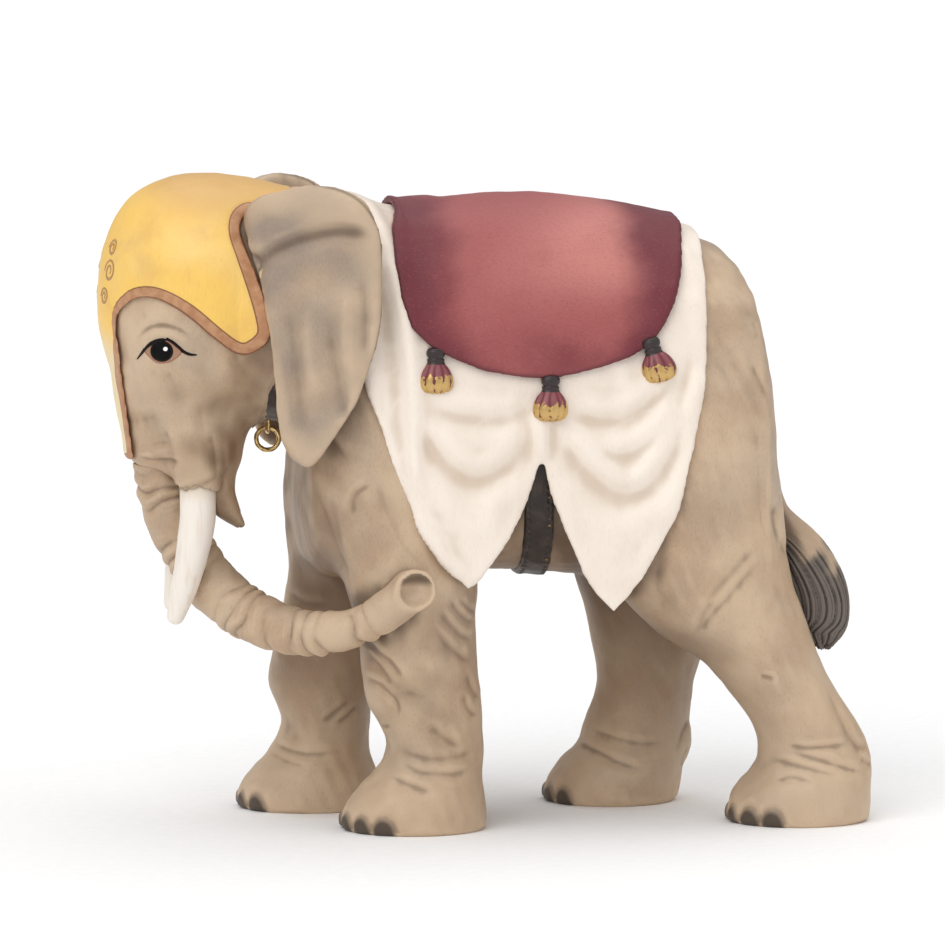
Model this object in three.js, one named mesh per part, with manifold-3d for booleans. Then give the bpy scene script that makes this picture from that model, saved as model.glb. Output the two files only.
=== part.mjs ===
// Carved and painted wooden elephant in festive trappings, sized for a 12 cm figure set.
// It walks towards -X with its left side towards -Y and stands on the plane z = 0. Millimetres.
// The wooden pieces are glued on dowels; the brass lead ring swings on a staple at the throat.
import * as THREE from 'three';
import { mergeVertices } from 'three/addons/utils/BufferGeometryUtils.js';
import Module from 'manifold-3d';

const wasm = await Module();
wasm.setup();

// Driving dimensions.
const gap = 0.3; // between two pieces that touch
const lengthShift = 1.5; // brings the middle of the overall length over the origin
const drapeRelief = 3; // thickness of the white drape where it hangs clear
const saddleRelief = 1.9; // how far the red saddle cloth stands proud of the drape
const capRelief = 1.4; // how far the yellow headdress stands proud of the skin
const strapRelief = 1.3;
const reach = 200; // longer than the figure in every direction, for cutting tools
const trunkJoint = 88.5; // height of the glue line between head and trunk
const seam = { point: [-4.5, 0, 60], forward: [-1, 0, -0.136] }; // glue line between the two blocks
const neckJoint = { point: [-57.5, 0, 99], forward: [-1, 0, 0.147] };
const throat = [-54, 0, 95.7]; // the staple's bottom wire, where the lead ring hangs
const leadRing = { radius: 2.8, wire: 0.55, slack: 0.15 };
const stapleWire = 0.45; // radius
const mouth = { at: [-23.4, -42.7, 60.4], radius: 5.1, depth: 2.5 }; // the trunk's open tip
const tassel = { height: 11, flatness: 0.75 };
const tassels = [ // each side: [place, [x, distance from the middle, z] of its top, lean]
  ['front', [-17.6, 35, 118.6], 0], ['middle', [10, 37.4, 111.8], 0], ['rear', [34.4, 35.6, 120.4], -0.3],
];
const sides = { left: -1, right: 1 };

// Rows of an oval body: [place along its axis, low edge, high edge, middle across, half width].
const torsoRows = [
  [-48.5, 72, 83, 0, 10], [-46.5, 66, 93, 0, 18], [-42, 62, 108, 0, 24], [-34, 60, 136, 0, 29],
  [-24, 60, 147.5, 0, 31.5], [-8, 61, 148.8, 0, 33.5], [10, 61, 149.5, 0, 34.5],
  [26, 59, 148, 0, 34.5], [41, 57, 145.5, 0, 34], [52, 57, 142.8, 0, 33], [60, 59, 138, 0, 30],
  [65.5, 66, 129, 0, 24], [68, 80, 114, 0, 12],
];
const neckRows = [
  [-64, 108, 146, 0, 20], [-56, 100.4, 153, 0, 26], [-50, 99.4, 153.5, 0, 28.5],
  [-44, 93.5, 153, 0, 29.5], [-34, 82, 151.5, 0, 31], [-22, 78, 147, 0, 31],
];
const headRows = [
  [84, -77, -66, 0, 15.5], [88, -81, -62.5, 0, 18], [92, -86.5, -61, 0, 18.5],
  [98, -88.6, -58.5, 0, 19.5], [104, -90.2, -55, 0, 21.5], [110, -91.7, -52.5, 0, 23.5],
  [117, -93.6, -50, 0, 25], [125, -94.6, -48, 0, 25.5], [133, -94, -47, 0, 25.5],
  [141, -91.8, -47, 0, 24.5], [148, -89.6, -48, 0, 22], [153, -85.5, -50, 0, 18],
  [156.5, -80, -54, 0, 12], [157.6, -74, -60, 0, 6], [158.1, -69, -65, 0, 2],
];
const lipRows = [
  [72, -61.6, -59.2, 0, 1.2], [75, -66.4, -60.4, 0, 3.6], [79, -68.6, -61.8, 0, 5.5],
  [84, -70, -62.4, 0, 7], [90, -74, -61, 0, 9], [98, -82, -60, 0, 14],
];
const leftForelegRows = [
  [0, -39, -3.2, -21.5, 16], [4, -39, -3.2, -21.5, 16.3], [9, -35.5, -3.7, -21.5, 15.6],
  [14, -30.5, -4.3, -21.5, 13.8], [19, -27.5, -4.2, -21.5, 12.6], [32, -32.5, -5, -21.5, 13.5],
  [46, -34, -6, -21.5, 14], [60, -37.5, -5.5, -21.5, 15], [80, -42, -5, -21, 14.5],
  [102, -42, -9, -19.5, 12.5], [120, -36, -14, -17, 8],
];
const rightForelegRows = [
  [0, -59, -22.7, 21.5, 16], [4, -59, -23, 21.5, 16.3], [9, -55.5, -24.5, 21.5, 15.6],
  [14, -51, -26, 21.5, 13.8], [20, -48.5, -26, 21.5, 12.6], [32, -52, -25, 21.5, 13.5],
  [44, -49.5, -21, 21.5, 14], [58, -46, -14, 21.5, 15], [80, -45, -7, 21, 14.5],
  [102, -43, -9, 19.5, 12.5], [120, -36, -14, 17, 8],
];
const leftHindLegRows = [
  [0, 57, 92, -21.5, 16], [4, 57.3, 92.4, -21.5, 16.3], [9, 60, 92.5, -21.5, 15.6],
  [14, 64.5, 92.8, -21.5, 13.8], [19, 65, 91.5, -21.5, 12.4], [30, 59.5, 85, -21.5, 12.6],
  [40, 50, 80, -21.5, 13.5], [48, 38.5, 76.5, -21.5, 15], [58, 29, 73, -21.5, 16.3],
  [80, 24, 70, -20, 16.3], [105, 28, 67, -19, 14], [125, 36, 60, -17, 8],
];
const rightHindLegRows = [
  [0, 18.5, 52, 21.5, 16], [4, 18.7, 52.6, 21.5, 16.3], [9, 22, 53.6, 21.5, 15.6],
  [14, 27, 55.6, 21.5, 13.8], [19, 29, 55.3, 21.5, 12.4], [32, 32.3, 56.8, 21.5, 12.8],
  [40, 31, 60, 21.5, 13.5], [48, 29.5, 64, 21.5, 15], [58, 26, 69, 21.5, 16.3],
  [80, 24, 70, 20, 16.3], [105, 28, 67, 19, 14], [125, 36, 60, 17, 8],
];
const drapeRows = [
  [-42, -10, 150.5, 0, 31.5], [-34, -10, 153, 0, 34], [-25, -10, 151.2, 0, 35.8],
  [-8, -10, 151.4, 0, 37.6], [10, -10, 152, 0, 38], [28, -10, 150.6, 0, 38.4],
  [42, -10, 148, 0, 38], [54, -10, 145, 0, 36.5],
];
// Rows of a round limb: [x, y, z, radius].
const trunkRows = [
  [-80.6, 0, 104, 8.5], [-80.4, 0, 92, 7.9], [-79.6, 0, 81, 7.2], [-76.6, -1, 72.5, 7],
  [-72.6, -3, 65.5, 6.6], [-67.5, -6.5, 58.5, 6.3], [-60.5, -12, 53, 5.9], [-52, -19.5, 49.5, 5.6],
  [-43.5, -28, 49, 5.1], [-35, -34.5, 51.8, 4.8], [-28.5, -37.6, 56.2, 4.7], [-24.6, -38, 59.6, 4.5],
];
const tuskRows = (side, tipBack, tipDrop) => [
  [-73, side * 12.6, 95, 3.6], [-73, side * 14, 85, 4], [-73, side * 14.6, 76, 4],
  [-74.4 + 0.4 * tipBack, side * 14.4, 66, 3.5],
  [-77 + 0.8 * tipBack, side * 13.4, 58.5 - 0.5 * tipDrop, 2.6],
  [-79.4 + tipBack, side * 12.2, 53 - tipDrop, 1.3],
];
const tailRows = [
  [65.8, 0, 124, 2.2], [67.5, -0.5, 112, 2.8], [69.2, -2, 98, 2.8], [69.8, -5, 86, 2.9],
  [72.2, -10, 75, 3.5], [77.6, -14.5, 66, 5.6], [80.2, -17.2, 57.5, 7], [80.8, -18.6, 50.5, 6.4],
  [80.4, -19, 46.5, 3.6],
];
// Outlines of the painted trappings and the ears in the side view, [x, z].
const drapeOutline = [
  [-39, 170], [-38, 126], [-34, 107], [-29, 95], [-24.5, 83], [-19, 69.5], [-14, 63], [-9.6, 59.6],
  [-7.6, 61], [-4.6, 65], [0, 71], [4, 79], [6.4, 86], [7.8, 91], [9.6, 86], [12, 74.5], [16, 65.5],
  [21, 58.5], [25.5, 54.2], [31, 58.5], [37.5, 67], [43, 79], [46.5, 91], [48.8, 106], [50, 122],
  [51, 138], [51.5, 170],
];
const saddleOutline = [
  [-29, 170], [-28.5, 150], [-27, 136], [-24.5, 125], [-20, 119.5], [-13, 115.6], [-6, 112.8],
  [2, 110.8], [10, 110.6], [18, 111.8], [26, 114], [33, 117], [38, 121.5], [42, 127], [44.2, 134],
  [45.6, 142], [47, 170],
];
const girthBand = [[13.9, -10], [21.5, -10], [9.7, 108], [2.1, 108]];
const capOutline = [
  [-50.5, 170], [-50.5, 153.6], [-56, 154.6], [-60.5, 154.6], [-64.6, 151], [-65.3, 147.5],
  [-63.6, 141.5], [-60.6, 132.5], [-58.4, 126], [-58, 121], [-60.8, 118], [-64, 117.6],
  [-69.5, 121.7], [-76, 127.6], [-82, 131], [-86.5, 132], [-90.5, 130.6], [-93.2, 125.5],
  [-92.8, 118], [-91.2, 110.5], [-89.6, 103], [-88.4, 96], [-87.4, 91.5], [-100, 91.2], [-110, 170],
];
const earOutline = [
  [-54, 156], [-48, 157.7], [-42, 157], [-37, 154.6], [-33.4, 150.4], [-31.2, 145], [-30.8, 130],
  [-32.6, 118], [-37, 106], [-43.5, 97.5], [-49.5, 91.2], [-53, 94], [-55.4, 101], [-57, 113],
  [-59.4, 128], [-62.4, 140], [-63.4, 149], [-60, 154],
];
// The ear in plan: [x, outer face, inner face], thick at the root.
const earPlan = [
  [-67, -24.8, -17], [-60, -28.4, -19], [-52, -32.8, -26.5], [-44, -36.8, -32.5], [-36, -40, -36],
  [-28, -41, -37.2],
];

const vectors = (rows) => new THREE.CatmullRomCurve3(rows.map((row) => new THREE.Vector3(...row)));

function solidFrom(geometry) {
  geometry.deleteAttribute('normal');
  geometry.deleteAttribute('uv');
  const merged = mergeVertices(geometry, 1e-4);
  const mesh = new wasm.Mesh({
    numProp: 3,
    vertProperties: new Float32Array(merged.attributes.position.array),
    triVerts: new Uint32Array(merged.index.array),
  });
  return new wasm.Manifold(mesh);
}

const join = (...solids) => solids.reduce((all, solid) => all.add(solid));
const cut = (solid, ...tools) => tools.reduce((rest, tool) => rest.subtract(tool), solid);

// A closed body of oval rows along the X or the Z axis, grown all round by an amount.
// Fullness 2 is an ellipse, and more is squarer.
function ovals(axis, rows, grow = 0, { around = 20, perRow = 1, fullness = 2 } = {}) {
  const span = vectors(rows.map(([at, low, high]) => [at, low, high]));
  const across = vectors(rows.map(([, , , middle, half]) => [middle, half, 0]));
  const geometry = new THREE.CylinderGeometry(1, 1, 1, around, perRow * (rows.length - 1));
  const position = geometry.attributes.position;
  for (let i = 0; i < position.count; i++) {
    const [u, v] = [position.getX(i), position.getZ(i)];
    const t = position.getY(i) + 0.5;
    const { x: at, y: low, z: high } = span.getPoint(t);
    const { x: middle, y: half } = across.getPoint(t);
    const power = Math.abs(u) ** fullness + Math.abs(v) ** fullness;
    const size = power < 0.1 ? 0 : power ** (-1 / fullness); // 0 at a cap's middle
    const place = at + (t < 1e-6 ? -grow : t > 1 - 1e-6 ? grow : 0);
    const side = (low + high) / 2 + u * size * ((high - low) / 2 + grow);
    const depth = v * size * (half + grow);
    if (axis === 'x') position.setXYZ(i, place, middle + depth, side);
    else position.setXYZ(i, side, middle - depth, place);
  }
  return solidFrom(geometry);
}

// A closed round limb through rows of [x, y, z, radius]; flat is its width across over its depth.
function limb(rows, grow = 0, { around = 14, perRow = 2, flat = 1 } = {}) {
  const spine = vectors(rows.map(([x, y, z]) => [x, y, z]));
  const girth = vectors(rows.map(([, , , radius]) => [radius, 0, 0]));
  const geometry = new THREE.CylinderGeometry(1, 1, 1, around, perRow * (rows.length - 1));
  const position = geometry.attributes.position;
  for (let i = 0; i < position.count; i++) {
    const t = position.getY(i) + 0.5;
    const tangent = spine.getTangent(t);
    const inPlane = tangent.clone().cross(new THREE.Vector3(0, 1, 0)).normalize();
    const across = tangent.clone().cross(inPlane);
    const radius = girth.getPoint(t).x + grow;
    const point = spine.getPoint(t)
      .addScaledVector(inPlane, position.getX(i) * radius)
      .addScaledVector(across, -position.getZ(i) * radius * flat)
      .addScaledVector(tangent, t < 1e-6 ? -grow : t > 1 - 1e-6 ? grow : 0);
    position.setXYZ(i, point.x, point.y, point.z);
  }
  return solidFrom(geometry);
}

// The space inside a side-view outline, right across the figure.
function across(outline, rounded = false) {
  const points = outline.map(([x, z]) => new THREE.Vector2(x, z));
  const curve = new THREE.SplineCurve([...points, points[0]]);
  const shape = new THREE.Shape(rounded ? curve.getPoints(36).slice(1) : points);
  const geometry = new THREE.ExtrudeGeometry(shape, { depth: reach, bevelEnabled: false });
  return solidFrom(geometry.rotateX(Math.PI / 2).translate(0, reach / 2, 0));
}

// Everything on one side of a plane.
function half({ point, forward }, offset = 0) {
  const direction = new THREE.Vector3(...forward).normalize();
  const turn = new THREE.Quaternion().setFromUnitVectors(new THREE.Vector3(0, 0, 1), direction);
  const centre = new THREE.Vector3(...point).addScaledVector(direction, reach + offset);
  const geometry = new THREE.BoxGeometry(2 * reach, 2 * reach, 2 * reach).applyQuaternion(turn);
  return solidFrom(geometry.translate(centre.x, centre.y, centre.z));
}
const opposite = ({ point, forward }) => ({ point, forward: forward.map((value) => -value) });

// A dowel lies along a line through its middle; its hole is a gap wider all round.
function dowel({ middle, along, radius, length }, grow = 0) {
  const turn = new THREE.Quaternion().setFromUnitVectors(
    new THREE.Vector3(0, 1, 0), new THREE.Vector3(...along).normalize());
  const geometry = new THREE.CylinderGeometry(radius + grow, radius + grow, length + 2 * grow, 12);
  return solidFrom(geometry.applyQuaternion(turn).translate(...middle));
}
const dowels = {
  block_dowel_upper: { middle: [-13.5, 0, 125], along: seam.forward, radius: 4, length: 30 },
  block_dowel_lower: { middle: [-8.5, 0, 88], along: seam.forward, radius: 4, length: 30 },
  neck_dowel: { middle: [-54, 0, 124], along: neckJoint.forward, radius: 4, length: 26 },
  trunk_dowel: { middle: [-80.2, 0, trunkJoint], along: [0.06, 0, 1], radius: 2, length: 14 },
  tail_dowel: { middle: [65.6, -0.4, 113], along: [1, 0, 0], radius: 1, length: 6.6 },
  left_ear_dowel: { middle: [-57.8, -24, 136], along: [0, 1, 0], radius: 1.5, length: 7 },
  right_ear_dowel: { middle: [-57.8, 24, 136], along: [0, 1, 0], radius: 1.5, length: 7 },
};
const holesFor = (...names) => names.map((name) => dowel(dowels[name], gap));

// Skin: the whole wooden figure as overlapping forms, grown for the pieces that lie on it.
const torso = (grow) => ovals('x', torsoRows, grow);
const neck = (grow) => ovals('x', neckRows, grow);
const legRows = [leftForelegRows, rightForelegRows, leftHindLegRows, rightHindLegRows];
const legForms = (grow) => legRows.map((rows) => ovals('z', rows, grow, { around: 14 }));
const bodyForm = (grow) => join(torso(grow), ...legForms(grow),
  neck(grow).intersect(half(opposite(neckJoint), -grow)));
const belowJoint = { point: [0, 0, trunkJoint], forward: [0, 0, -1] };

function trunkSolid(grow = 0) {
  const [x, y, z] = mouth.at;
  const rim = mouth.radius + grow;
  const nostril = new THREE.CylinderGeometry(rim - 0.8, rim, 8 + 2 * grow, 18);
  const tip = solidFrom(nostril.translate(x, y + 4, z));
  const opening = new THREE.CylinderGeometry(mouth.radius - 1.6, mouth.radius - 0.9, 2 * mouth.depth, 18);
  const tube = join(limb(trunkRows, grow), tip).intersect(half(belowJoint, gap / 2 - grow));
  return grow ? tube : cut(tube, solidFrom(opening.translate(x, y, z)));
}

function headForm(grow) {
  const root = limb(trunkRows, grow).intersect(half(opposite(belowJoint), gap / 2 - grow));
  return join(ovals('z', headRows, grow), ovals('z', lipRows, grow, { around: 14 }), neck(grow), root);
}

function headSolid() {
  return cut(headForm(0).intersect(half(neckJoint, gap / 2)), trunkSolid(gap), tuskSolid(-1, gap),
    tuskSolid(1, gap), ...holesFor('neck_dowel', 'trunk_dowel', 'left_ear_dowel', 'right_ear_dowel'));
}

function tuskSolid(side, grow = 0) {
  return limb(tuskRows(side, side > 0 ? 3.4 : 0, side > 0 ? 2 : 0), grow, { around: 12 });
}

function earSolid(side) {
  const face = (column) => new THREE.SplineCurve(
    earPlan.map((row) => new THREE.Vector2(row[0], row[column]))).getPoints(9);
  const plan = new THREE.Shape([...face(1), ...face(2).reverse()]);
  const sheet = solidFrom(new THREE.ExtrudeGeometry(plan, { depth: reach, bevelEnabled: false }));
  const ear = sheet.intersect(across(earOutline, true));
  return side < 0 ? ear : ear.mirror([0, 1, 0]);
}

const drapeOuter = (grow) => ovals('x', drapeRows, grow, { around: 24, perRow: 2, fullness: 2.6 });

function drapeSolid(body) {
  const hollow = drapeOuter(-drapeRelief).intersect(half({ point: [0, 0, 128], forward: [0, 0, -1] }));
  return cut(drapeOuter(0).intersect(across(drapeOutline)), hollow, body, torso(strapRelief + gap));
}

function tasselSolid(side, [x, y, z], lean) {
  const { height } = tassel;
  const profile = [
    [0, -1], [0.24, -0.98], [0.36, -0.78], [0.36, -0.6], [0.23, -0.33], [0.25, -0.15], [0.21, 0], [0, 0],
  ].map(([radius, drop]) => new THREE.Vector2(radius * height, drop * height));
  const turned = new THREE.LatheGeometry(profile, 14);
  turned.scale(1, 1, tassel.flatness).rotateX(Math.PI / 2).rotateY(lean).translate(x, side * y, z);
  return solidFrom(turned);
}

// The ring hangs in the XZ plane from a staple bent in the YZ plane.
const ringDrop = leadRing.radius - leadRing.wire - stapleWire - leadRing.slack;
function ringSolid() {
  const ring = new THREE.TorusGeometry(leadRing.radius, leadRing.wire, 8, 24);
  const [x, y, z] = throat;
  return solidFrom(ring.rotateX(Math.PI / 2).translate(x, y, z - ringDrop));
}

function stapleSolid() {
  const path = new THREE.CatmullRomCurve3(
    [[2.3, 3], [2.2, 1.4], [1.5, 0.25], [0, 0], [-1.5, 0.25], [-2.2, 1.4], [-2.3, 3]]
      .map(([y, rise]) => new THREE.Vector3(throat[0], y, throat[2] + rise)));
  const section = new THREE.Shape().absarc(0, 0, stapleWire, 0, 2 * Math.PI);
  const wire = new THREE.ExtrudeGeometry(section, { extrudePath: path, steps: 10, curveSegments: 4 });
  return cut(solidFrom(wire), neck(strapRelief + gap));
}

function halterSolid(head) {
  const band = [[-56.8, 90], [-49.8, 90], [-49.6, 99], [-46, 109], [-43.4, 116], [-50.5, 116], [-56.8, 99]];
  return cut(neck(strapRelief), neck(gap), head).intersect(across(band));
}

const body = bodyForm(0);
const bodyHole = bodyForm(gap);
const head = headSolid();
const headHole = headForm(gap);
const trunk = trunkSolid();
const drape = drapeSolid(bodyHole);
const saddle = cut(drapeOuter(saddleRelief + gap), drapeOuter(gap)).intersect(across(saddleOutline));
const cap = cut(ovals('z', headRows, capRelief), headHole).intersect(across(capOutline));
const capHole = ovals('z', headRows, capRelief + gap).intersect(across(capOutline));
const tail = cut(limb(tailRows, 0, { flat: 0.7 }), bodyHole, ...holesFor('tail_dowel'));
const blockHoles = holesFor('block_dowel_upper', 'block_dowel_lower');
const girth = torso(strapRelief).intersect(across(girthBand));

// Paints and metal: colour, roughness, metalness.
const finish = {
  skin: [0xb59f86, 0.62, 0],
  ivory: [0xefe8df, 0.45, 0],
  yellow: [0xf3c766, 0.5, 0],
  cream: [0xf3e9df, 0.55, 0],
  burgundy: [0xa85f62, 0.6, 0],
  tasselRed: [0x7b3540, 0.55, 0],
  black: [0x2f2824, 0.5, 0],
  brush: [0x5e5350, 0.6, 0],
  brass: [0xc9a65a, 0.3, 1],
  wood: [0xd8bd94, 0.7, 0],
};

const group = new THREE.Group();
group.position.x = lengthShift;

function addPiece(name, solid, [color, roughness, metalness]) {
  const { vertProperties, triVerts } = solid.getMesh();
  const geometry = new THREE.BufferGeometry();
  geometry.setAttribute('position', new THREE.BufferAttribute(vertProperties, 3));
  geometry.setIndex(new THREE.BufferAttribute(triVerts, 1));
  geometry.computeVertexNormals();
  const mesh = new THREE.Mesh(geometry, new THREE.MeshStandardMaterial({ color, roughness, metalness }));
  mesh.name = name;
  group.add(mesh);
}

const front = body.intersect(half(seam, gap / 2)).intersect(half(opposite(neckJoint), gap / 2));
const rear = body.intersect(half(opposite(seam), gap / 2));
addPiece('front_block', cut(front, trunkSolid(gap), ...blockHoles, ...holesFor('neck_dowel')), finish.skin);
addPiece('rear_block', cut(rear, ...blockHoles, ...holesFor('tail_dowel')), finish.skin);
addPiece('head', head, finish.skin);
addPiece('trunk', cut(trunk, ...holesFor('trunk_dowel')), finish.skin);
addPiece('tail', tail, finish.brush);
addPiece('headdress', cap, finish.yellow);
addPiece('drape', drape, finish.cream);
addPiece('saddle_cloth', saddle, finish.burgundy);
addPiece('girth_strap', cut(girth, bodyHole), finish.black);
addPiece('halter_strap', halterSolid(headHole), finish.black);
addPiece('ring_staple', stapleSolid(), finish.brass);
addPiece('lead_ring', ringSolid(), finish.brass);

for (const [name, side] of Object.entries(sides)) {
  const ear = cut(earSolid(side), headHole, capHole, bodyHole, ...holesFor(`${name}_ear_dowel`));
  addPiece(`${name}_ear`, ear, finish.skin);
  addPiece(`${name}_tusk`, tuskSolid(side), finish.ivory);
  for (const [place, top, lean] of tassels) {
    const hung = cut(tasselSolid(side, top, lean), drapeOuter(gap), drapeOuter(saddleRelief + 2 * gap)
      .intersect(across(saddleOutline)));
    addPiece(`tassel_${name}_${place}`, hung, finish.tasselRed);
  }
}
for (const name of Object.keys(dowels)) addPiece(name, dowel(dowels[name]), finish.wood);

export default group;
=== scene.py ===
import math

import bmesh
import bpy
import numpy as np
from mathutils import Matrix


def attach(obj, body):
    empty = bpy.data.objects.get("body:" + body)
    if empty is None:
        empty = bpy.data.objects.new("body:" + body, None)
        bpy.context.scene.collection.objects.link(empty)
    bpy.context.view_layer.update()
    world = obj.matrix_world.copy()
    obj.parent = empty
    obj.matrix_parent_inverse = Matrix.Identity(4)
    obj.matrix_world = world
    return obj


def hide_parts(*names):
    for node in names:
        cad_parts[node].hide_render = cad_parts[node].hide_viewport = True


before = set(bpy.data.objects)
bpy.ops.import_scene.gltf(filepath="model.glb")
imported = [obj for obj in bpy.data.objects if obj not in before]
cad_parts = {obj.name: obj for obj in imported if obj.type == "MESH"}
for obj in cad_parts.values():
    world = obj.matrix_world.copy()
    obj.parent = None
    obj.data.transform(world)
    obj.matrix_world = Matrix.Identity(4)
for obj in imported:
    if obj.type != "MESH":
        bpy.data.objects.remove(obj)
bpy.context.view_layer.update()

import openvdb
from mathutils import Vector
from mathutils.bvhtree import BVHTree

lengthShift = 1.5
millimetre = 0.001


def cell(fine):  # the size of a grid's cells, mm
    return fine


def toFrame(points):
    return (np.asarray(points, float) + (lengthShift, 0, 0)) * millimetre


# Smooth lines and fields.

def smoothLine(at, places, values):  # a curve through the values, level with its neighbours
    places, values = np.asarray(places, float), np.asarray(values, float)
    slopes = np.gradient(values, places)
    at = np.clip(at, places[0], places[-1])
    i = np.clip(np.searchsorted(places, at) - 1, 0, len(places) - 2)
    span = places[i + 1] - places[i]
    t = (at - places[i]) / span
    ends = (1 + 2 * t) * (1 - t) ** 2 * values[i] + t * t * (3 - 2 * t) * values[i + 1]
    return ends + span * t * (1 - t) * ((1 - t) * slopes[i] - t * slopes[i + 1])


def smoothPath(points, perPart=6, closed=False):
    points = np.asarray(points, float)
    if closed:
        points = np.vstack([points[-2:], points, points[:3]])
    places = np.arange(len(points), dtype=float)
    first, last = (2, len(points) - 3) if closed else (0, len(points) - 1)
    at = np.linspace(first, last, (last - first) * perPart + 1)
    path = np.stack([smoothLine(at, places, points[:, k]) for k in range(points.shape[1])], -1)
    return path[:-1] if closed else path


def fade(value, low, high):  # 0 below low, 1 above high
    t = np.clip((value - low) / (high - low), 0, 1)
    return t * t * (3 - 2 * t)


def melt(a, b, radius):  # the two forms joined with a soft valley
    soft = np.maximum(radius - np.abs(a - b), 0) / radius
    return np.minimum(a, b) - soft * soft * radius / 4


def keep(a, b, radius):  # where both forms are, with a soft edge
    return -melt(-a, -b, radius)


def makeGrid(low, high, step):
    counts = [int(math.ceil((b - a) / step)) + 1 for a, b in zip(low, high)]
    x, y, z = (np.arange(n, dtype=np.float32) * step + a for a, n in zip(low, counts))
    return {"low": np.array(low, float), "step": step, "shape": counts,
            "x": x[:, None, None], "y": y[None, :, None], "z": z[None, None, :]}


def sampled(grid, values, points):  # a grid's values at points between its cells
    corner = grid["low"][:points.shape[1]]
    place = np.clip((points - corner) / grid["step"], 0, np.array(values.shape) - 1.001)
    first = place.astype(int)
    share = place - first
    total = np.zeros(len(points))
    for way in np.ndindex(*(2,) * points.shape[1]):
        weight = np.prod(np.where(way, share, 1 - share), axis=1)
        total += weight * values[tuple((first + way).T)]
    return total


def blurred(values, cells, rounds=2):
    for axis in list(range(values.ndim)) * rounds:
        edges = [(cells + 1, cells) if k == axis else (0, 0) for k in range(values.ndim)]
        total = np.cumsum(np.pad(values, edges, mode="edge"), axis)
        n = values.shape[axis]
        ahead = np.take(total, np.arange(2 * cells + 1, 2 * cells + 1 + n), axis)
        values = (ahead - np.take(total, np.arange(n), axis)) / (2 * cells + 1)
    return values


def steepness(grid, field):
    return np.sqrt(sum(part ** 2 for part in np.gradient(field, grid["step"])))


def ovalField(grid, axis, rows, grow=0.0, fullness=2.0, rounding=1.0):
    rows = np.array(rows, float)
    along, side = (grid["x"], grid["z"]) if axis == "x" else (grid["z"], grid["x"])
    low, high, middle, half = (smoothLine(along, rows[:, 0], rows[:, k]) for k in (1, 2, 3, 4))
    tall, wide = np.maximum((high - low) / 2, 0.5), np.maximum(half, 0.5)
    size = (np.abs((side - (low + high) / 2) / tall) ** fullness
            + np.abs((grid["y"] - middle) / wide) ** fullness) ** (1 / fullness)
    field = ((size - 1) * np.minimum(tall, wide)).astype(np.float32)
    field = field / np.clip(steepness(grid, field), 0.35, 3)
    caps = np.maximum(rows[0, 0] - along, along - rows[-1, 0])
    return (keep(field, np.broadcast_to(caps, field.shape), rounding) - grow).astype(np.float32)


def limbField(grid, rows, grow=0.0, flat=1.0, perPart=6, reach=7.0):
    line = smoothPath(rows, perPart)
    field = np.full(grid["shape"], reach, np.float32)
    low, step = grid["low"], grid["step"]
    for a, b in zip(line[:-1], line[1:]):
        wide = max(a[3], b[3]) + grow + reach
        start = np.maximum(np.floor((np.minimum(a, b)[:3] - wide - low) / step).astype(int), 0)
        stop = np.maximum(np.ceil((np.maximum(a, b)[:3] + wide - low) / step).astype(int), 0)
        i, j, k = (slice(s, e) for s, e in zip(start, stop))
        x, y, z = grid["x"][i] - a[0], (grid["y"][:, j] - a[1]) / flat, grid["z"][:, :, k] - a[2]
        ab = (b - a)[:3] / (1, flat, 1)
        share = np.clip((x * ab[0] + y * ab[1] + z * ab[2]) / (ab @ ab), 0, 1)
        away = np.sqrt((x - share * ab[0]) ** 2 + (y - share * ab[1]) ** 2 + (z - share * ab[2]) ** 2)
        away = away - (a[3] + share * (b[3] - a[3])) - grow
        field[i, j, k] = np.minimum(field[i, j, k], away)
    return field


def outlineDistance(u, v, outline):  # distance to a closed outline, below 0 inside
    shape = np.broadcast(u, v).shape
    u, v = np.broadcast_to(u, shape).ravel(), np.broadcast_to(v, shape).ravel()
    best, inside = np.full(u.size, 1e9), np.zeros(u.size, bool)
    ends = np.roll(outline, -1, 0)
    for (au, av), (bu, bv) in zip(outline, ends):
        du, dv = bu - au, bv - av
        share = np.clip(((u - au) * du + (v - av) * dv) / max(du * du + dv * dv, 1e-9), 0, 1)
        best = np.minimum(best, (u - au - share * du) ** 2 + (v - av - share * dv) ** 2)
        if abs(dv) > 1e-9:
            inside ^= ((av > v) != (bv > v)) & (u < au + (v - av) * du / dv)
    return (np.sqrt(best) * np.where(inside, -1, 1)).reshape(shape).astype(np.float32)


# Distance to an open path, above 0 on its left, and how far along it, 0 to 1.
def pathDistance(u, v, path):
    best, share, left = np.full(len(u), 1e9), np.zeros(len(u)), np.ones(len(u))
    for i, ((au, av), (bu, bv)) in enumerate(zip(path[:-1], path[1:])):
        du, dv = bu - au, bv - av
        t = np.clip(((u - au) * du + (v - av) * dv) / max(du * du + dv * dv, 1e-9), 0, 1)
        away = (u - au - t * du) ** 2 + (v - av - t * dv) ** 2
        nearer = away < best
        share = np.where(nearer, (i + t) / (len(path) - 1), share)
        left = np.where(nearer, np.sign(du * (v - av) - dv * (u - au)), left)
        best = np.minimum(best, away)
    return np.sqrt(best) * left, share


def ripple(points, size, seed, waves=14):  # smooth unevenness about size mm across, -1 to 1
    random = np.random.default_rng(seed)
    turns = random.normal(size=(waves, 3))
    turns *= (2 * math.pi / size * random.uniform(0.6, 1.5, (waves, 1))
              / np.linalg.norm(turns, axis=1, keepdims=True))
    total = np.zeros(len(points))
    for turn, start in zip(turns, random.uniform(0, 2 * math.pi, waves)):
        total += np.sin(points @ turn + start)
    return total / math.sqrt(waves)


# Meshes.

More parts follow.
